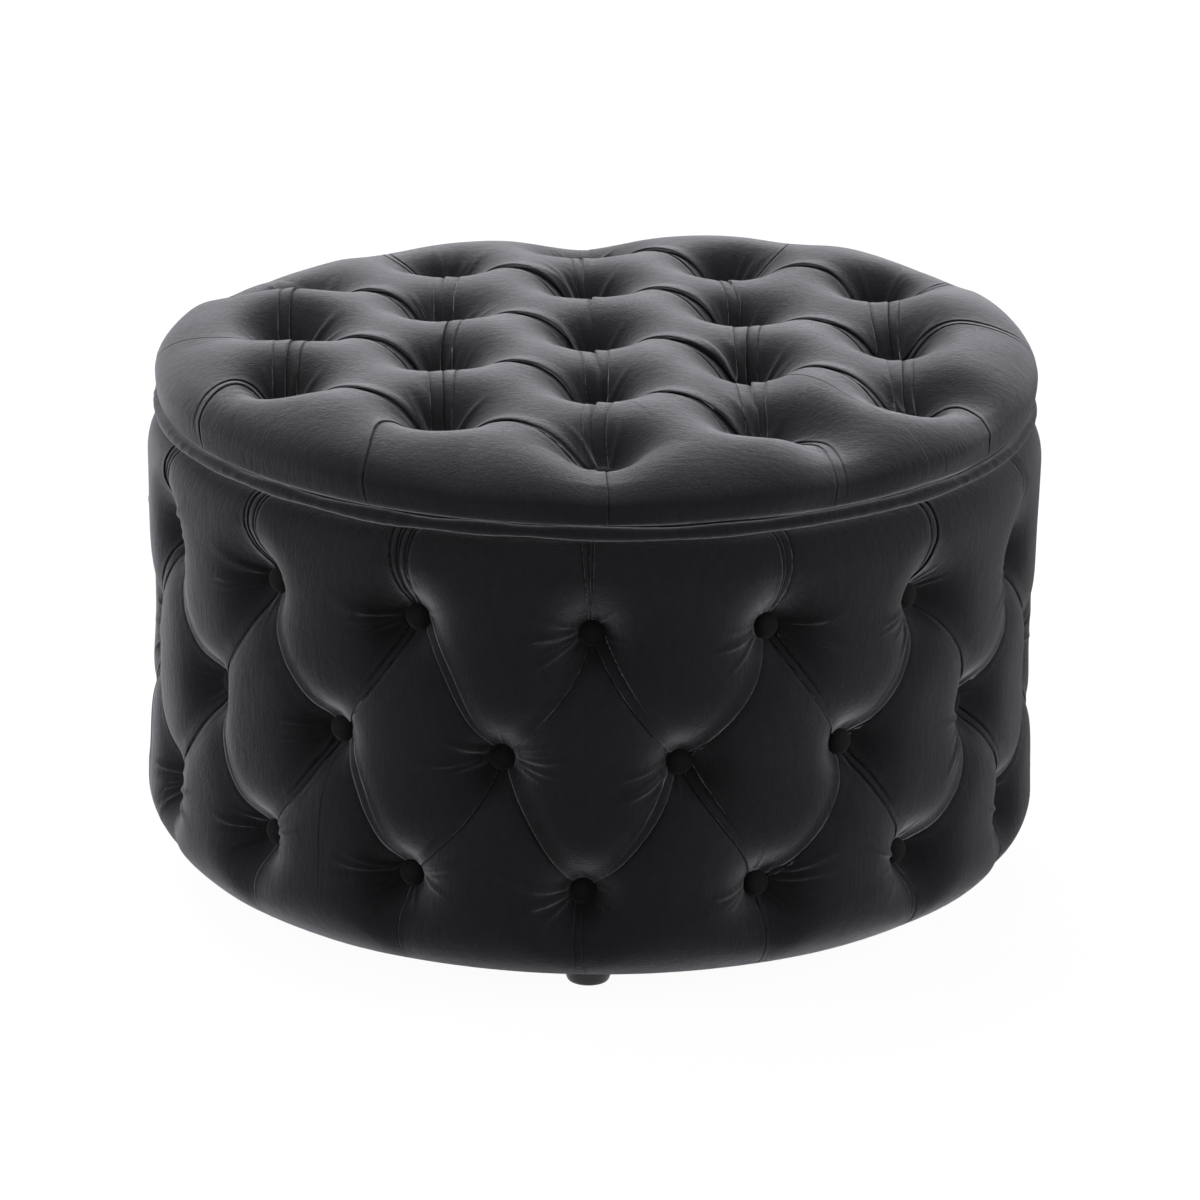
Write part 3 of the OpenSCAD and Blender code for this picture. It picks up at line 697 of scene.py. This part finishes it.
def lid_folds(n):
    """Fine folds in one dimple, most of them in its far wall."""
    rnd = seeded(n[0] + 9, n[1] + 9, 31)
    folds = [(math.pi / 2 + rnd.uniform(-0.9, 0.9), rnd.uniform(-0.1, 0.1), rnd.uniform(40, 74),
              rnd.uniform(0.8, 1.8), rnd.uniform(1.5, 2.2)) for _ in range(rnd.randint(5, 9))]
    folds += [(rnd.uniform(0, TAU), rnd.uniform(-0.15, 0.15), rnd.uniform(30, 60), rnd.uniform(0.6, 1.3), 1.8)
              for _ in range(rnd.randint(5, 9))]
    return folds


LID_FOLDS = {n: lid_folds(n) for n in LID_NODES}
# How much steeper than the others the front wall of a dimple is
FRONT_STEEP = {(0, -2): 0.5}


def turned(x, y):
    """A place on the lid, turned with it."""
    c, s = math.cos(LID_TURN), math.sin(LID_TURN)
    return c * x - s * y, s * x + c * y


def lid_pit(d):
    """Share of the dimple's depth at a distance from a lid button."""
    return 1 / (1 + (np.clip(d - 3, 0, None) / 23.0) ** 2.7)


def place_lid(p, middle):
    """Flat cloth to the tufted lid, in mm."""
    keep, dip = np.ones(len(p)), np.ones(len(p))
    up, shift = np.zeros(len(p)), np.zeros((len(p), 2))
    clear = np.full(len(p), 1e9)
    for n in LID_NODES:
        c = lat(*n)
        if np.hypot(*(c - middle)) > 230:
            continue                                      # too far away to shape this patch
        d = np.hypot(*(p - c).T)
        clear = np.minimum(clear, d)
        ahead = np.clip((c[1] - p[:, 1]) / (d + 1e-9), 0, 1)
        keep *= 1 - lid_pit(d * (1 + FRONT_STEEP.get(n, 0.0) * ahead))
        up += ridges(p, c, LID_FOLDS[n])
    for line in LID_PLEATS:
        if np.hypot(*((line.start + line.end) / 2 - middle)) > 190:
            continue
        there = line.close(p, 2.4 * line.width)
        if not len(there):
            continue
        d, t, left = line.near(p[there])
        dip[there] *= 1 - edge_blend(t, line.valley) * np.exp(-(d / line.width) ** 2)
        up[there] += line.lift * np.sin(math.pi * t) ** 2 * np.exp(-(d / 40) ** 2)
        add_folds(line, d, t, left, there, smooth(clear[there], 8, 15), up, shift)
    rho0 = np.hypot(*p.T)
    puff = wander(p, 8, 75, 1.3) * smooth(clear, 14, 45)
    p = p + shift
    rho = np.hypot(*p.T) + 1e-9
    r, z, nr, nz = on_profile(np.minimum(rho, LID_FLAT_R), LID_Q, LID_PR, LID_PZ)
    nr, nz = np.where(rho < 6, 0, -nr), np.where(rho < 6, 1, -nz)      # this profile runs outwards
    full = np.interp(np.degrees(np.arctan2(p[:, 1], p[:, 0])) % 360, *RIM_FULL)
    z = z + full * smooth(rho, 200, 310) * smooth(z, SKIRT_Z, SKIRT_Z + 30)
    depth = np.clip(z - LID_SEAT_Z + 0.3, 17, None)
    pits = 1 - keep
    share = (1 - pits) * (1 - dip)
    lean = smooth(rho, 255, 340)
    er, ez = lean * nr, (1 - lean) + lean * nz
    fade = smooth(-rho0, -LID_FLAT_R, -LID_FLAT_R + 22)
    out = (up + puff) * fade - depth * share * (0.25 + 0.75 * fade)
    r = r + er * out
    z = z + ez * out - np.clip(z - LID_SEAT_Z + 0.3, 0, None) * pits
    x, y = turned(p[:, 0] / rho * r, p[:, 1] / rho * r)
    outward = np.array([0.0, 0.0, 1.0]) + np.append(middle, 0) / 250
    return np.stack([x, y, z], 1), outward


def make_lid():
    quilt = Quilt(place_lid)

    def at(kind, *nodes):
        return lid_line(kind, *nodes), False
    for i, j in LID_NODES:
        a, b, c, d = (i, j), (i + 1, j), (i + 1, j + 1), (i, j + 1)
        if all(n in LID_NODES for n in (b, c, d)):
            quilt.patch(at("slanting", a, b), at("slanting", d, c),
                        at("straight", a, d), at("straight", b, c))
    for k, a in enumerate(LID_OUTER):             # from the outer buttons to the rim
        b = LID_OUTER[(k + 1) % len(LID_OUTER)]
        side = lid_edge_line(a, b)
        if side:
            quilt.patch(side, at("edge", a, b), at("rim_pleat", a), at("rim_pleat", b))
            continue
        inner = min((n for n in LID_NODES if lid_edge_line(n, a) and lid_edge_line(n, b)),
                    key=lambda n: np.hypot(*lat(*n)))
        for n in (a, b):
            quilt.patch(lid_edge_line(inner, n), at("half_edge", n, (a, b)),
                        at("soft_out", inner, (a, b)), at("rim_pleat", n))
    ob = quilt.build("lid_velvet", "lid")
    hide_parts("lid_cover")


# ---- materials ----

class Shader:
    """A Principled material whose colour, roughness and bump come from procedural nodes."""

    def __init__(self, name, **fixed):
        self.mat = bpy.data.materials.new(name)
        self.mat.use_nodes = True
        self.nodes, self.links = self.mat.node_tree.nodes, self.mat.node_tree.links
        self.bsdf = self.nodes["Principled BSDF"]
        for key, value in fixed.items():
            self.bsdf.inputs[key.replace("_", " ")].default_value = value
        self.coords = self.nodes.new("ShaderNodeTexCoord").outputs["Object"]

    def node(self, kind, inputs=(), **settings):
        n = self.nodes.new("ShaderNode" + kind)
        for key, value in settings.items():
            setattr(n, key, value)
        for key, value in dict(inputs).items():
            if hasattr(value, "is_linked"):
                self.links.new(value, n.inputs[key])
            else:
                n.inputs[key].default_value = value
        return n

    def stretched(self, scale):
        return self.node("Mapping", {"Vector": self.coords, "Scale": scale}).outputs[0]

    def noise(self, scale, detail=3.0, rough=0.55, stretch=None, distortion=0.0):
        vector = self.stretched(stretch) if stretch else self.coords
        return self.node("TexNoise", {"Vector": vector, "Scale": scale, "Detail": detail,
                                      "Roughness": rough, "Distortion": distortion}).outputs["Fac"]

    def ranged(self, value, low, high, from_low=0.3, from_high=0.7):
        return self.node("MapRange", {0: value, 1: from_low, 2: from_high, 3: low, 4: high}).outputs[0]

    def math(self, kind, a, b=0.0):
        return self.node("Math", {0: a, 1: b}, operation=kind).outputs[0]

    def mixed(self, a, b, share):
        """The sum of a and b, of which a has this share."""
        return self.math("ADD", self.math("MULTIPLY", a, share), self.math("MULTIPLY", b, 1 - share))

    def colours(self, value, stops):
        ramp = self.node("ValToRGB", {"Fac": value})
        while len(ramp.color_ramp.elements) < len(stops):
            ramp.color_ramp.elements.new(0.5)
        for element, (place, colour) in zip(ramp.color_ramp.elements, stops):
            element.position, element.color = place, (*colour, 1)
        return ramp.outputs["Color"]

    def finish(self, colour, roughness, height, distance, strength=1.0):
        self.links.new(colour, self.bsdf.inputs["Base Color"])
        self.links.new(roughness, self.bsdf.inputs["Roughness"])
        bump = self.node("Bump", {"Height": height, "Distance": distance, "Strength": strength})
        self.links.new(bump.outputs[0], self.bsdf.inputs["Normal"])
        return self.mat


def velvet(name, dark, light, sheen=0.9):
    """Short cut pile: dark when seen straight on, pale where it is seen or lit at a low angle."""
    s = Shader(name, Sheen_Weight=sheen, Sheen_Roughness=0.37, Sheen_Tint=(0.84, 0.84, 0.90, 1),
               Specular_IOR_Level=0.1)
    nap = s.noise(14, 5, 0.62, distortion=0.8)
    brushed = s.noise(42, 3, 0.55, stretch=(1.0, 1.0, 0.4))
    pile = s.noise(170, 4, 0.7, stretch=(1.0, 1.0, 0.35))
    fibre = s.noise(600, 4, 0.75)
    grain = s.mixed(fibre, pile, 0.5)
    colour = s.colours(s.mixed(nap, grain, 0.45), [(0.38, dark), (0.62, light)])
    height = s.math("ADD", grain, s.math("MULTIPLY", brushed, 0.3))
    return s.finish(colour, s.ranged(nap, 0.72, 0.9), height, 0.0014, 0.85)


def lining(name):
    """Black non-woven cloth: soft fibres and a fine pattern of bonded dots."""
    s = Shader(name, Sheen_Weight=0.25, Sheen_Roughness=0.5, Sheen_Tint=(0.7, 0.7, 0.75, 1),
               Specular_IOR_Level=0.2)
    fibre = s.noise(240, 5, 0.75)
    dots = s.node("TexVoronoi", {"Vector": s.coords, "Scale": 330.0, "Randomness": 0.25}).outputs["Distance"]
    colour = s.colours(fibre, [(0.3, (0.010, 0.010, 0.011)), (0.7, (0.030, 0.030, 0.033))])
    height = s.math("ADD", s.ranged(dots, 0.0, 0.8, 0.1, 0.5), s.math("MULTIPLY", fibre, 0.5))
    return s.finish(colour, s.ranged(fibre, 0.7, 0.92), height, 0.0003, 0.7)


def wood(name, dark, light, stretch, rings=38.0):
    s = Shader(name, Specular_IOR_Level=0.3)
    grain = s.noise(rings, 6, 0.65, stretch=stretch, distortion=1.4)
    fine = s.noise(420, 4, 0.6, stretch=stretch)
    blend = s.mixed(grain, fine, 0.7)
    colour = s.colours(blend, [(0.32, dark), (0.52, light), (0.7, tuple(0.86 * c for c in light))])
    return s.finish(colour, s.ranged(fine, 0.52, 0.75), fine, 0.0002, 0.5)


def speckled(name, dark, light, scale, roughness, distance, **fixed):
    """One tone with fine mottling, for moulded, pressed and foamed stuff."""
    s = Shader(name, **fixed)
    fine, slow = s.noise(scale, 5, 0.7), s.noise(14, 3, 0.5)
    colour = s.colours(s.mixed(fine, slow, 0.6), [(0.35, dark), (0.65, light)])
    return s.finish(colour, s.ranged(fine, *roughness), fine, distance, 0.6)


def foam(name):
    s = Shader(name, Specular_IOR_Level=0.2)
    cells = s.node("TexVoronoi", {"Vector": s.coords, "Scale": 520.0}).outputs["Distance"]
    slow = s.noise(9, 3, 0.5)
    colour = s.colours(slow, [(0.3, (0.72, 0.64, 0.42)), (0.7, (0.82, 0.76, 0.56))])
    return s.finish(colour, s.ranged(cells, 0.8, 0.95, 0.0, 0.6), cells, 0.0005, 0.8)


def twine(name):
    s = Shader(name, Specular_IOR_Level=0.3)
    ply = s.node("TexWave", {"Vector": s.coords, "Scale": 420.0, "Distortion": 1.2, "Detail": 2.0},
                 bands_direction="DIAGONAL").outputs["Fac"]
    colour = s.colours(ply, [(0.1, (0.50, 0.47, 0.41)), (0.8, (0.74, 0.71, 0.64))])
    return s.finish(colour, s.ranged(ply, 0.5, 0.7, 0.0, 1.0), ply, 0.0002, 0.8)


def zinc(name):
    s = Shader(name, Metallic=1.0)
    spangle, fine = s.noise(60, 3, 0.5, distortion=0.8), s.noise(900, 2, 0.5)
    colour = s.colours(spangle, [(0.3, (0.46, 0.47, 0.49)), (0.7, (0.68, 0.68, 0.67))])
    return s.finish(colour, s.ranged(spangle, 0.24, 0.42), fine, 0.00005, 0.5)


VELVET = velvet("charcoal_velvet", (0.0050, 0.0040, 0.0051), (0.0131, 0.0117, 0.0137))
# The buttons are covered in the cloth's own velvet. This copy is darker and has little sheen: painted shade
# for buttons that sit deep in their pits.
SHADED_BUTTON_VELVET = velvet("button_velvet", (0.0042, 0.0041, 0.0045), (0.0080, 0.0078, 0.0086), 0.10)
LINING = lining("black_lining")
PLY = wood("pale_plywood", (0.44, 0.29, 0.16), (0.66, 0.50, 0.32), (1.0, 0.09, 1.0))
PINE = wood("pale_pine", (0.46, 0.30, 0.15), (0.70, 0.53, 0.33), (1.0, 1.0, 0.08))
HARDBOARD = speckled("brown_hardboard", (0.17, 0.095, 0.05), (0.27, 0.165, 0.09), 320, (0.45, 0.62), 0.0001,
                     Specular_IOR_Level=0.35)
FOAM = foam("cream_foam")
TWINE = twine("tie_twine")
ZINC = zinc("zinc_steel")
FOOT = speckled("black_foot", (0.0085, 0.0085, 0.009), (0.0135, 0.0135, 0.014), 500, (0.34, 0.46), 0.00006,
                Specular_IOR_Level=0.4)
FELT = speckled("grey_felt", (0.05, 0.048, 0.045), (0.11, 0.105, 0.10), 700, (0.85, 0.97), 0.0004,
                Sheen_Weight=0.3, Specular_IOR_Level=0.1)

NODE_MATERIALS = {
    "base_board": PLY, "lower_ring": PLY, "frame_posts": PINE, "upper_ring": PLY, "lid_board": PLY,
    "insert_board": PLY, "hardboard_wrap": HARDBOARD, "floor_panel": HARDBOARD, "side_foam": FOAM,
    "lid_foam": FOAM, "side_button_ties": TWINE, "lid_button_ties": TWINE, "frame_screws": ZINC,
    "base_staples": ZINC, "lid_staples": ZINC, "insert_screws": ZINC, "foot_bolts": ZINC,
    "tee_nuts": ZINC, "felt_glides": FELT,
}
for node, material in NODE_MATERIALS.items():
    mesh = frame["nodes"][node].data
    mesh.materials.clear()
    mesh.materials.append(material)


# ---- buttons, welt, band and cloths ----

BUTTON_PROFILE = [(0.0, 7.7), (2.2, 7.6), (4.4, 7.15), (6.4, 6.35), (8.2, 5.2), (9.7, 3.8), (10.7, 2.4),
                  (11.2, 1.2), (11.25, 0.3), (10.9, -0.5), (9.8, -1.0)]


def buttons(name, node, body, places):
    """Covered buttons, one for each (centre, outward) in places, with the cloth gathered behind the rim."""
    verts, faces = [], []
    sides = 40
    for index, (centre, outward) in enumerate(places):
        out = np.array(outward, float)
        side = np.cross(out, [0.0, 0.3, 1.0])
        side /= np.linalg.norm(side)
        other = np.cross(out, side)
        rnd = seeded(index, len(places), len(name))
        tilt = rnd.uniform(-0.045, 0.045, 2)
        turn, gathers = rnd.uniform(0, TAU), rnd.randint(11, 16)
        start = len(verts)
        verts.append(np.array(centre) + out * BUTTON_PROFILE[0][1])
        for r, h in BUTTON_PROFILE[1:]:
            for k in range(sides):
                a = TAU * k / sides
                pinch = 0.16 * smooth(r, 9.0, 11.2) * math.sin(gathers * a + turn)
                rr = r + pinch
                lift = h + (tilt[0] * math.cos(a) + tilt[1] * math.sin(a)) * r
                verts.append(np.array(centre) + out * lift
                             + side * (rr * math.cos(a)) + other * (rr * math.sin(a)))
        rings = len(BUTTON_PROFILE) - 1
        ring = [[start + 1 + j * sides + k for k in range(sides)] for j in range(rings)]
        for k in range(sides):
            n = (k + 1) % sides
            faces.append((start, ring[0][n], ring[0][k]))
            for j in range(rings - 1):
                faces.append((ring[j][k], ring[j][n], ring[j + 1][n], ring[j + 1][k]))
    # the buttons' velvet is darkened as painted shade
    ob = mesh_object(name, verts, faces, body, SHADED_BUTTON_VELVET)
    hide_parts(node)
    return ob


def make_buttons():
    for row, word in enumerate(ROW_WORDS):
        places = []
        for k in range(TUFTS):
            x, z = side_button(row, k)
            a = x / SIDE_FLAT_R
            out = np.array([math.sin(a), -math.cos(a), 0.0])
            places.append((out * (SEAT_R + 0.3) + np.array([0, 0, z]), out))
        buttons(f"{word}_side_buttons", f"{word}_button_row", "drum", places)
    places = [((*turned(*lat(*n)), LID_SEAT_Z), (0, 0, 1)) for n in LID_NODES]
    buttons("lid_dimple_buttons", "lid_buttons", "lid", places)


def waves(a, z, key, count=7, low=9, high=46, scale_z=60.0):
    """Smooth unevenness round the drum, the same at both ends of a turn."""
    rnd = seeded(key, 77)
    total = 0
    for _ in range(count):
        total = total + np.sin(rnd.randint(low, high) * a + z / scale_z * rnd.uniform(-2, 2)
                               + rnd.uniform(0, TAU))
    return total / count ** 0.5


def make_welt():
    half_w, half_h = WELT_D / 2 + 1.2, WELT_D / 2 + 0.9       # the cord with the pile of its cloth
    mid_r, mid_z = WELT_R + 1.2, WELT_Z + 0.4
    profile = [(mid_r + half_w * math.cos(t), mid_z + half_h * math.sin(t)) for t in np.linspace(0, TAU, 25)]

    def wobble(a, r, z):
        tug = 0.18 * waves(a, z, 1, low=60, high=150) + 0.35 * waves(a, z * 0, 2, low=5, high=19)
        thick = 0.09 * waves(a, z * 0, 14, low=9, high=40) * (z - WELT_Z)
        return tug, 0.45 * waves(a, z * 0, 3, low=4, high=15) + thick
    ob = revolve("lid_piping", profile, "lid", VELVET, wobble, 900)
    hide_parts("lid_welt")


def make_band():
    low = heights("lid_band")[0]
    profile = [(358.3, low + 0.4), (358.9, low + 4), (359.6, low + 7.5), (360.4, low + 9.6),
               (360.9, low + 11.4), (360.3, low + 12.9), (358.8, low + 13.5)]

    def wobble(a, r, z):
        return 0.22 * waves(a, z, 4, low=30, high=120), 0.2 * waves(a, z * 0, 5, low=6, high=24)
    ob = revolve("lid_edge_band", profile, "lid", VELVET, wobble)
    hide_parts("lid_band")


def make_rim():
    t = RIM_TOP
    profile = [(349.5, PAD_TOP + 0.1), (346.5, t - 0.5), (343, t - 0.15), (330, t), (312, t), (302, t - 0.1),
               (298.6, t - 0.9), (297.2, t - 2.8), (296.9, t - 6), (296.9, t - 20), (296.9, RIM_LOW + 6),
               (296.8, RIM_LOW + 1)]

    def wobble(a, r, z):
        side = smooth(t - z, 2, 10)
        inward = -0.25 * side * np.abs(waves(a, z, 6, low=20, high=90))
        return inward, -0.2 * (1 - side) * np.abs(waves(a, r, 7))
    ob = revolve("rim_velvet", profile, "drum", VELVET, wobble)
    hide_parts("rim_cloth")


def make_wall():
    low, high = heights("wall_lining")
    profile = [(CAVITY_R + 0.3, z) for z in np.linspace(low + 0.3, high + 3, 40)]

    def wobble(a, r, z):
        loose = smooth(z, low + 6, low + 40) * smooth(-z, -high, -high + 12)
        crumple = np.abs(waves(a, z, 8, low=8, high=40)) ** 1.5
        crumple = crumple + 0.5 * np.abs(waves(a, z, 9, low=40, high=110))
        return -0.75 * loose * crumple, 0 * z
    ob = revolve("drum_wall_lining", profile, "drum", LINING, wobble, 540)
    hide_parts("wall_lining")


FOOT_HOLE_R = 19.5


def disc_cloth(name, node, body, rings, key, bumps, up=1, holes=()):
    """A round lining from (r, z) rings, slightly uneven, with round holes cut for the feet."""
    steps = 240
    a = round_angles(steps)
    verts, faces = [(0.0, 0.0, rings[0][1])], []
    edge = rings[-1][0]
    for r, z in rings:
        free = bumps * smooth(r, 5, 60) * smooth(-r, -edge + 2, -edge + 26)
        uneven = free * waves(a, r + 0 * a, key + 10, low=2, high=9, scale_z=45.0)
        verts += [(r * math.sin(t), -r * math.cos(t), z + d) for t, d in zip(a, uneven)]
    verts = np.array(verts)
    inside = np.zeros(len(verts), bool)
    for hole in holes:
        off = verts[:, :2] - np.array(hole)
        d = np.hypot(*off.T)
        hit = d < FOOT_HOLE_R
        verts[hit, :2] = np.array(hole) + off[hit] / np.maximum(d[hit], 1e-6)[:, None] * FOOT_HOLE_R
        inside |= hit
    for k in range(steps):
        n = (k + 1) % steps
        faces.append((0, 1 + n, 1 + k))
        for j in range(len(rings) - 1):
            b = 1 + j * steps
            faces.append((b + k, b + n, b + steps + n, b + steps + k))
    faces = [f if up < 0 else f[::-1] for f in faces if not all(inside[list(f)])]
    used = sorted({v for f in faces for v in f})
    number = {v: i for i, v in enumerate(used)}
    faces = [tuple(number[v] for v in f) for f in faces]
    ob = mesh_object(name, verts[used], faces, body, LINING)
    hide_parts(node)


def make_cloths():
    top = heights("floor_cloth")[1]
    disc_cloth("floor_lining", "floor_cloth", "drum",
               [(r, top - 0.15) for r in np.linspace(4, 292, 48)] + [(295.4, top - 0.5), (296.2, top - 1.0)],
               key=1, bumps=0.12)
    low, high = heights("insert_lining")
    disc_cloth("insert_cloth", "insert_lining", "lid",
               [(r, low + 0.3) for r in np.linspace(4, 286, 48)] + [(290, low + 0.6), (292, low + 2),
                (292.5, low + 4.5), (292.5, high - 1)],
               key=2, bumps=0.12, up=-1)
    z = heights("lid_lining")[0]
    disc_cloth("lid_under_lining", "lid_lining", "lid",
               [(r, z + 0.5) for r in np.linspace(4, 346, 60)] + [(350, z + 0.6), (352.8, z + 1.0)],
               key=3, bumps=0.08, up=-1)
    z, edge = node_box("dust_cover")[0][2], node_box("dust_cover")[1][1]
    disc_cloth("base_dust_cover", "dust_cover", "drum",
               [(r, z + 0.5) for r in np.linspace(4, edge - 6, 84)] + [(edge - 3, z + 0.6), (edge, z + 1.0)],
               key=4, bumps=0.25, up=-1,
               holes=FOOT_PLACES)


def make_hem():
    """The velvet turned in under the base board."""
    low, edge = node_box("bottom_hem")[0][2], node_box("bottom_hem")[1][1]
    profile = [(edge - 0.5, low - 0.1), (edge - 5, low + 0.3), (edge - 12, low + 0.4),
               (edge - 21.5, low + 0.6)]

    def wobble(a, r, z):
        cut = waves(a, r, 12, low=30, high=80) * 0.8 * smooth(-r, -edge, -edge + 20)
        return cut, -0.18 * np.abs(waves(a, r, 13, low=40, high=120))
    ob = revolve("bottom_turn_under", profile, "drum", VELVET, wobble)
    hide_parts("bottom_hem")


def make_feet():
    """Four bun feet, turned and lacquered black."""
    neck, swell, toe, glide, top = 15.5, 19.2, 15.5, 1.0, BOARD_LOW
    mid = glide + 0.42 * (top - glide)
    profile = [(neck, top - 0.2), (neck + 0.1, top - 0.8)]
    profile += [(neck + (swell - neck) * math.cos(a), mid + (top - mid) * math.sin(a))
                for a in np.radians(np.arange(78, 0, -6))]
    profile += [(toe + (swell - toe) * math.cos(a), mid - (mid - glide) * math.sin(a))
                for a in np.radians(np.arange(0, 91, 6))]
    profile += [(toe - 0.8, glide), (toe - 2.0, glide + 1.55), (11.3, glide + 1.6)]
    verts, faces = [], []
    sides = 64
    for x, y in FOOT_PLACES:
        start = len(verts)
        for r, z in profile:
            verts += [(x + r * math.sin(a), y - r * math.cos(a), z) for a in round_angles(sides)]
        for j in range(len(profile) - 1):
            for k in range(sides):
                b, n = start + j * sides, (k + 1) % sides
                faces.append((b + sides + k, b + sides + n, b + n, b + k))
    ob = mesh_object("bun_feet", verts, faces, "drum", FOOT)
    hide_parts("feet")


make_side()
make_lid()
make_buttons()
make_welt()
make_band()
make_rim()
make_wall()
make_cloths()
make_hem()
make_feet()


# ---- camera ----
# A long lens from a little above, turned slightly about its own axis as in the picture.
ELEVATION, DISTANCE, LENS = 0.3255, 5.898, 209.25
ROLL_ANGLE = 0.012
LOOK_AT = np.array([0.0041, 0.0, 0.2296])
camera = add_object("camera", bpy.data.cameras.new("camera"))
back = np.array([0.0, -math.cos(ELEVATION), math.sin(ELEVATION)])
camera.location = LOOK_AT + back * DISTANCE
camera.rotation_euler = (math.pi / 2 - ELEVATION, 0.0, 0.0)
camera.rotation_mode = "XYZ"
camera.data.sensor_width = 36.0
camera.data.lens = LENS
camera.rotation_euler.rotate_axis("Z", ROLL_ANGLE)
camera.data.shift_x, camera.data.shift_y = 0.0020, 0.0017
camera.data.clip_end = 60
bpy.context.scene.camera = camera


# ---- floor, world and lamps ----

def area_lamp(name, place, target, size, power):
    lamp = bpy.data.lights.new(name, "AREA")
    lamp.shape, lamp.size, lamp.size_y = "RECTANGLE", size[0], size[1]
    lamp.energy = power
    ob = add_object(name, lamp)
    ob.location = place
    aim = np.array(target, float) - np.array(place, float)
    ob.rotation_euler = Vector(aim).to_track_quat("-Z", "Y").to_euler()


def shown_white(nodes, links, surface, white, share):
    """The surface as lit, mixed with plain white where the camera, a mirror or glass looks at it."""
    path = nodes.new("ShaderNodeLightPath")
    seen = path.outputs["Is Camera Ray"]
    for other in ("Is Glossy Ray", "Is Transmission Ray"):
        most = nodes.new("ShaderNodeMath")
        most.operation = "MAXIMUM"
        links.new(seen, most.inputs[0])
        links.new(path.outputs[other], most.inputs[1])
        seen = most.outputs[0]
    scale = nodes.new("ShaderNodeMath")
    scale.operation = "MULTIPLY"
    scale.inputs[1].default_value = share
    links.new(seen, scale.inputs[0])
    mix = nodes.new("ShaderNodeMixShader")
    links.new(scale.outputs[0], mix.inputs[0])
    links.new(surface, mix.inputs[1])
    links.new(white, mix.inputs[2])
    return mix.outputs[0]


FLOOR_HALF = 30
FLOOR_GREY = 0.5
FLOOR_WHITE, FLOOR_SHARE = 1.14, 0.84       # the white that the camera sees, and its share
AMBIENT = 0.09


def make_stage():
    mesh = bpy.data.meshes.new("floor")
    corners = [(x * FLOOR_HALF, y * FLOOR_HALF, 0) for x, y in ((-1, -1), (1, -1), (1, 1), (-1, 1))]
    mesh.from_pydata(corners, [], [(0, 1, 2, 3)])
    floor = add_object("floor", mesh)
    mat = bpy.data.materials.new("pale_floor")
    mat.use_nodes = True
    nodes, links = mat.node_tree.nodes, mat.node_tree.links
    bsdf = nodes["Principled BSDF"]
    bsdf.inputs["Base Color"].default_value = (FLOOR_GREY, FLOOR_GREY, FLOOR_GREY, 1)
    bsdf.inputs["Roughness"].default_value = 0.9
    bsdf.inputs["Specular IOR Level"].default_value = 0.0
    white = nodes.new("ShaderNodeEmission")
    white.inputs["Strength"].default_value = FLOOR_WHITE
    out = nodes["Material Output"]
    seen = shown_white(nodes, links, bsdf.outputs[0], white.outputs[0], FLOOR_SHARE)
    links.new(seen, out.inputs["Surface"])
    mesh.materials.append(mat)

    world = bpy.data.worlds.new("studio")
    bpy.context.scene.world = world
    world.use_nodes = True
    nodes, links = world.node_tree.nodes, world.node_tree.links
    dim = nodes["Background"]
    dim.inputs["Color"].default_value = (0.95, 0.97, 1.0, 1)
    dim.inputs["Strength"].default_value = AMBIENT
    white = nodes.new("ShaderNodeBackground")
    white.inputs["Strength"].default_value = 1.0
    out = nodes["World Output"]
    seen = shown_white(nodes, links, dim.outputs[0], white.outputs[0], 1.0)
    links.new(seen, out.inputs["Surface"])


make_stage()
area_lamp("overhead_softbox", (-0.6, 0.9, 2.6), (0, 0, 0.4), (2.4, 1.6), 38)
area_lamp("back_softbox", (-0.6, 3.0, 1.75), (0, 0, 0.4), (3.4, 1.3), 74)
area_lamp("left_softbox", (-2.7, -0.7, 1.0), (0, 0, 0.3), (1.4, 1.8), 36)
area_lamp("right_softbox", (2.6, -1.0, 0.95), (0, 0, 0.3), (1.4, 1.8), 47)
area_lamp("front_fill", (-1.6, -3.4, 1.9), (0, 0, 0.2), (2.2, 1.8), 19)

bpy.context.scene.view_settings.view_transform = "Standard"
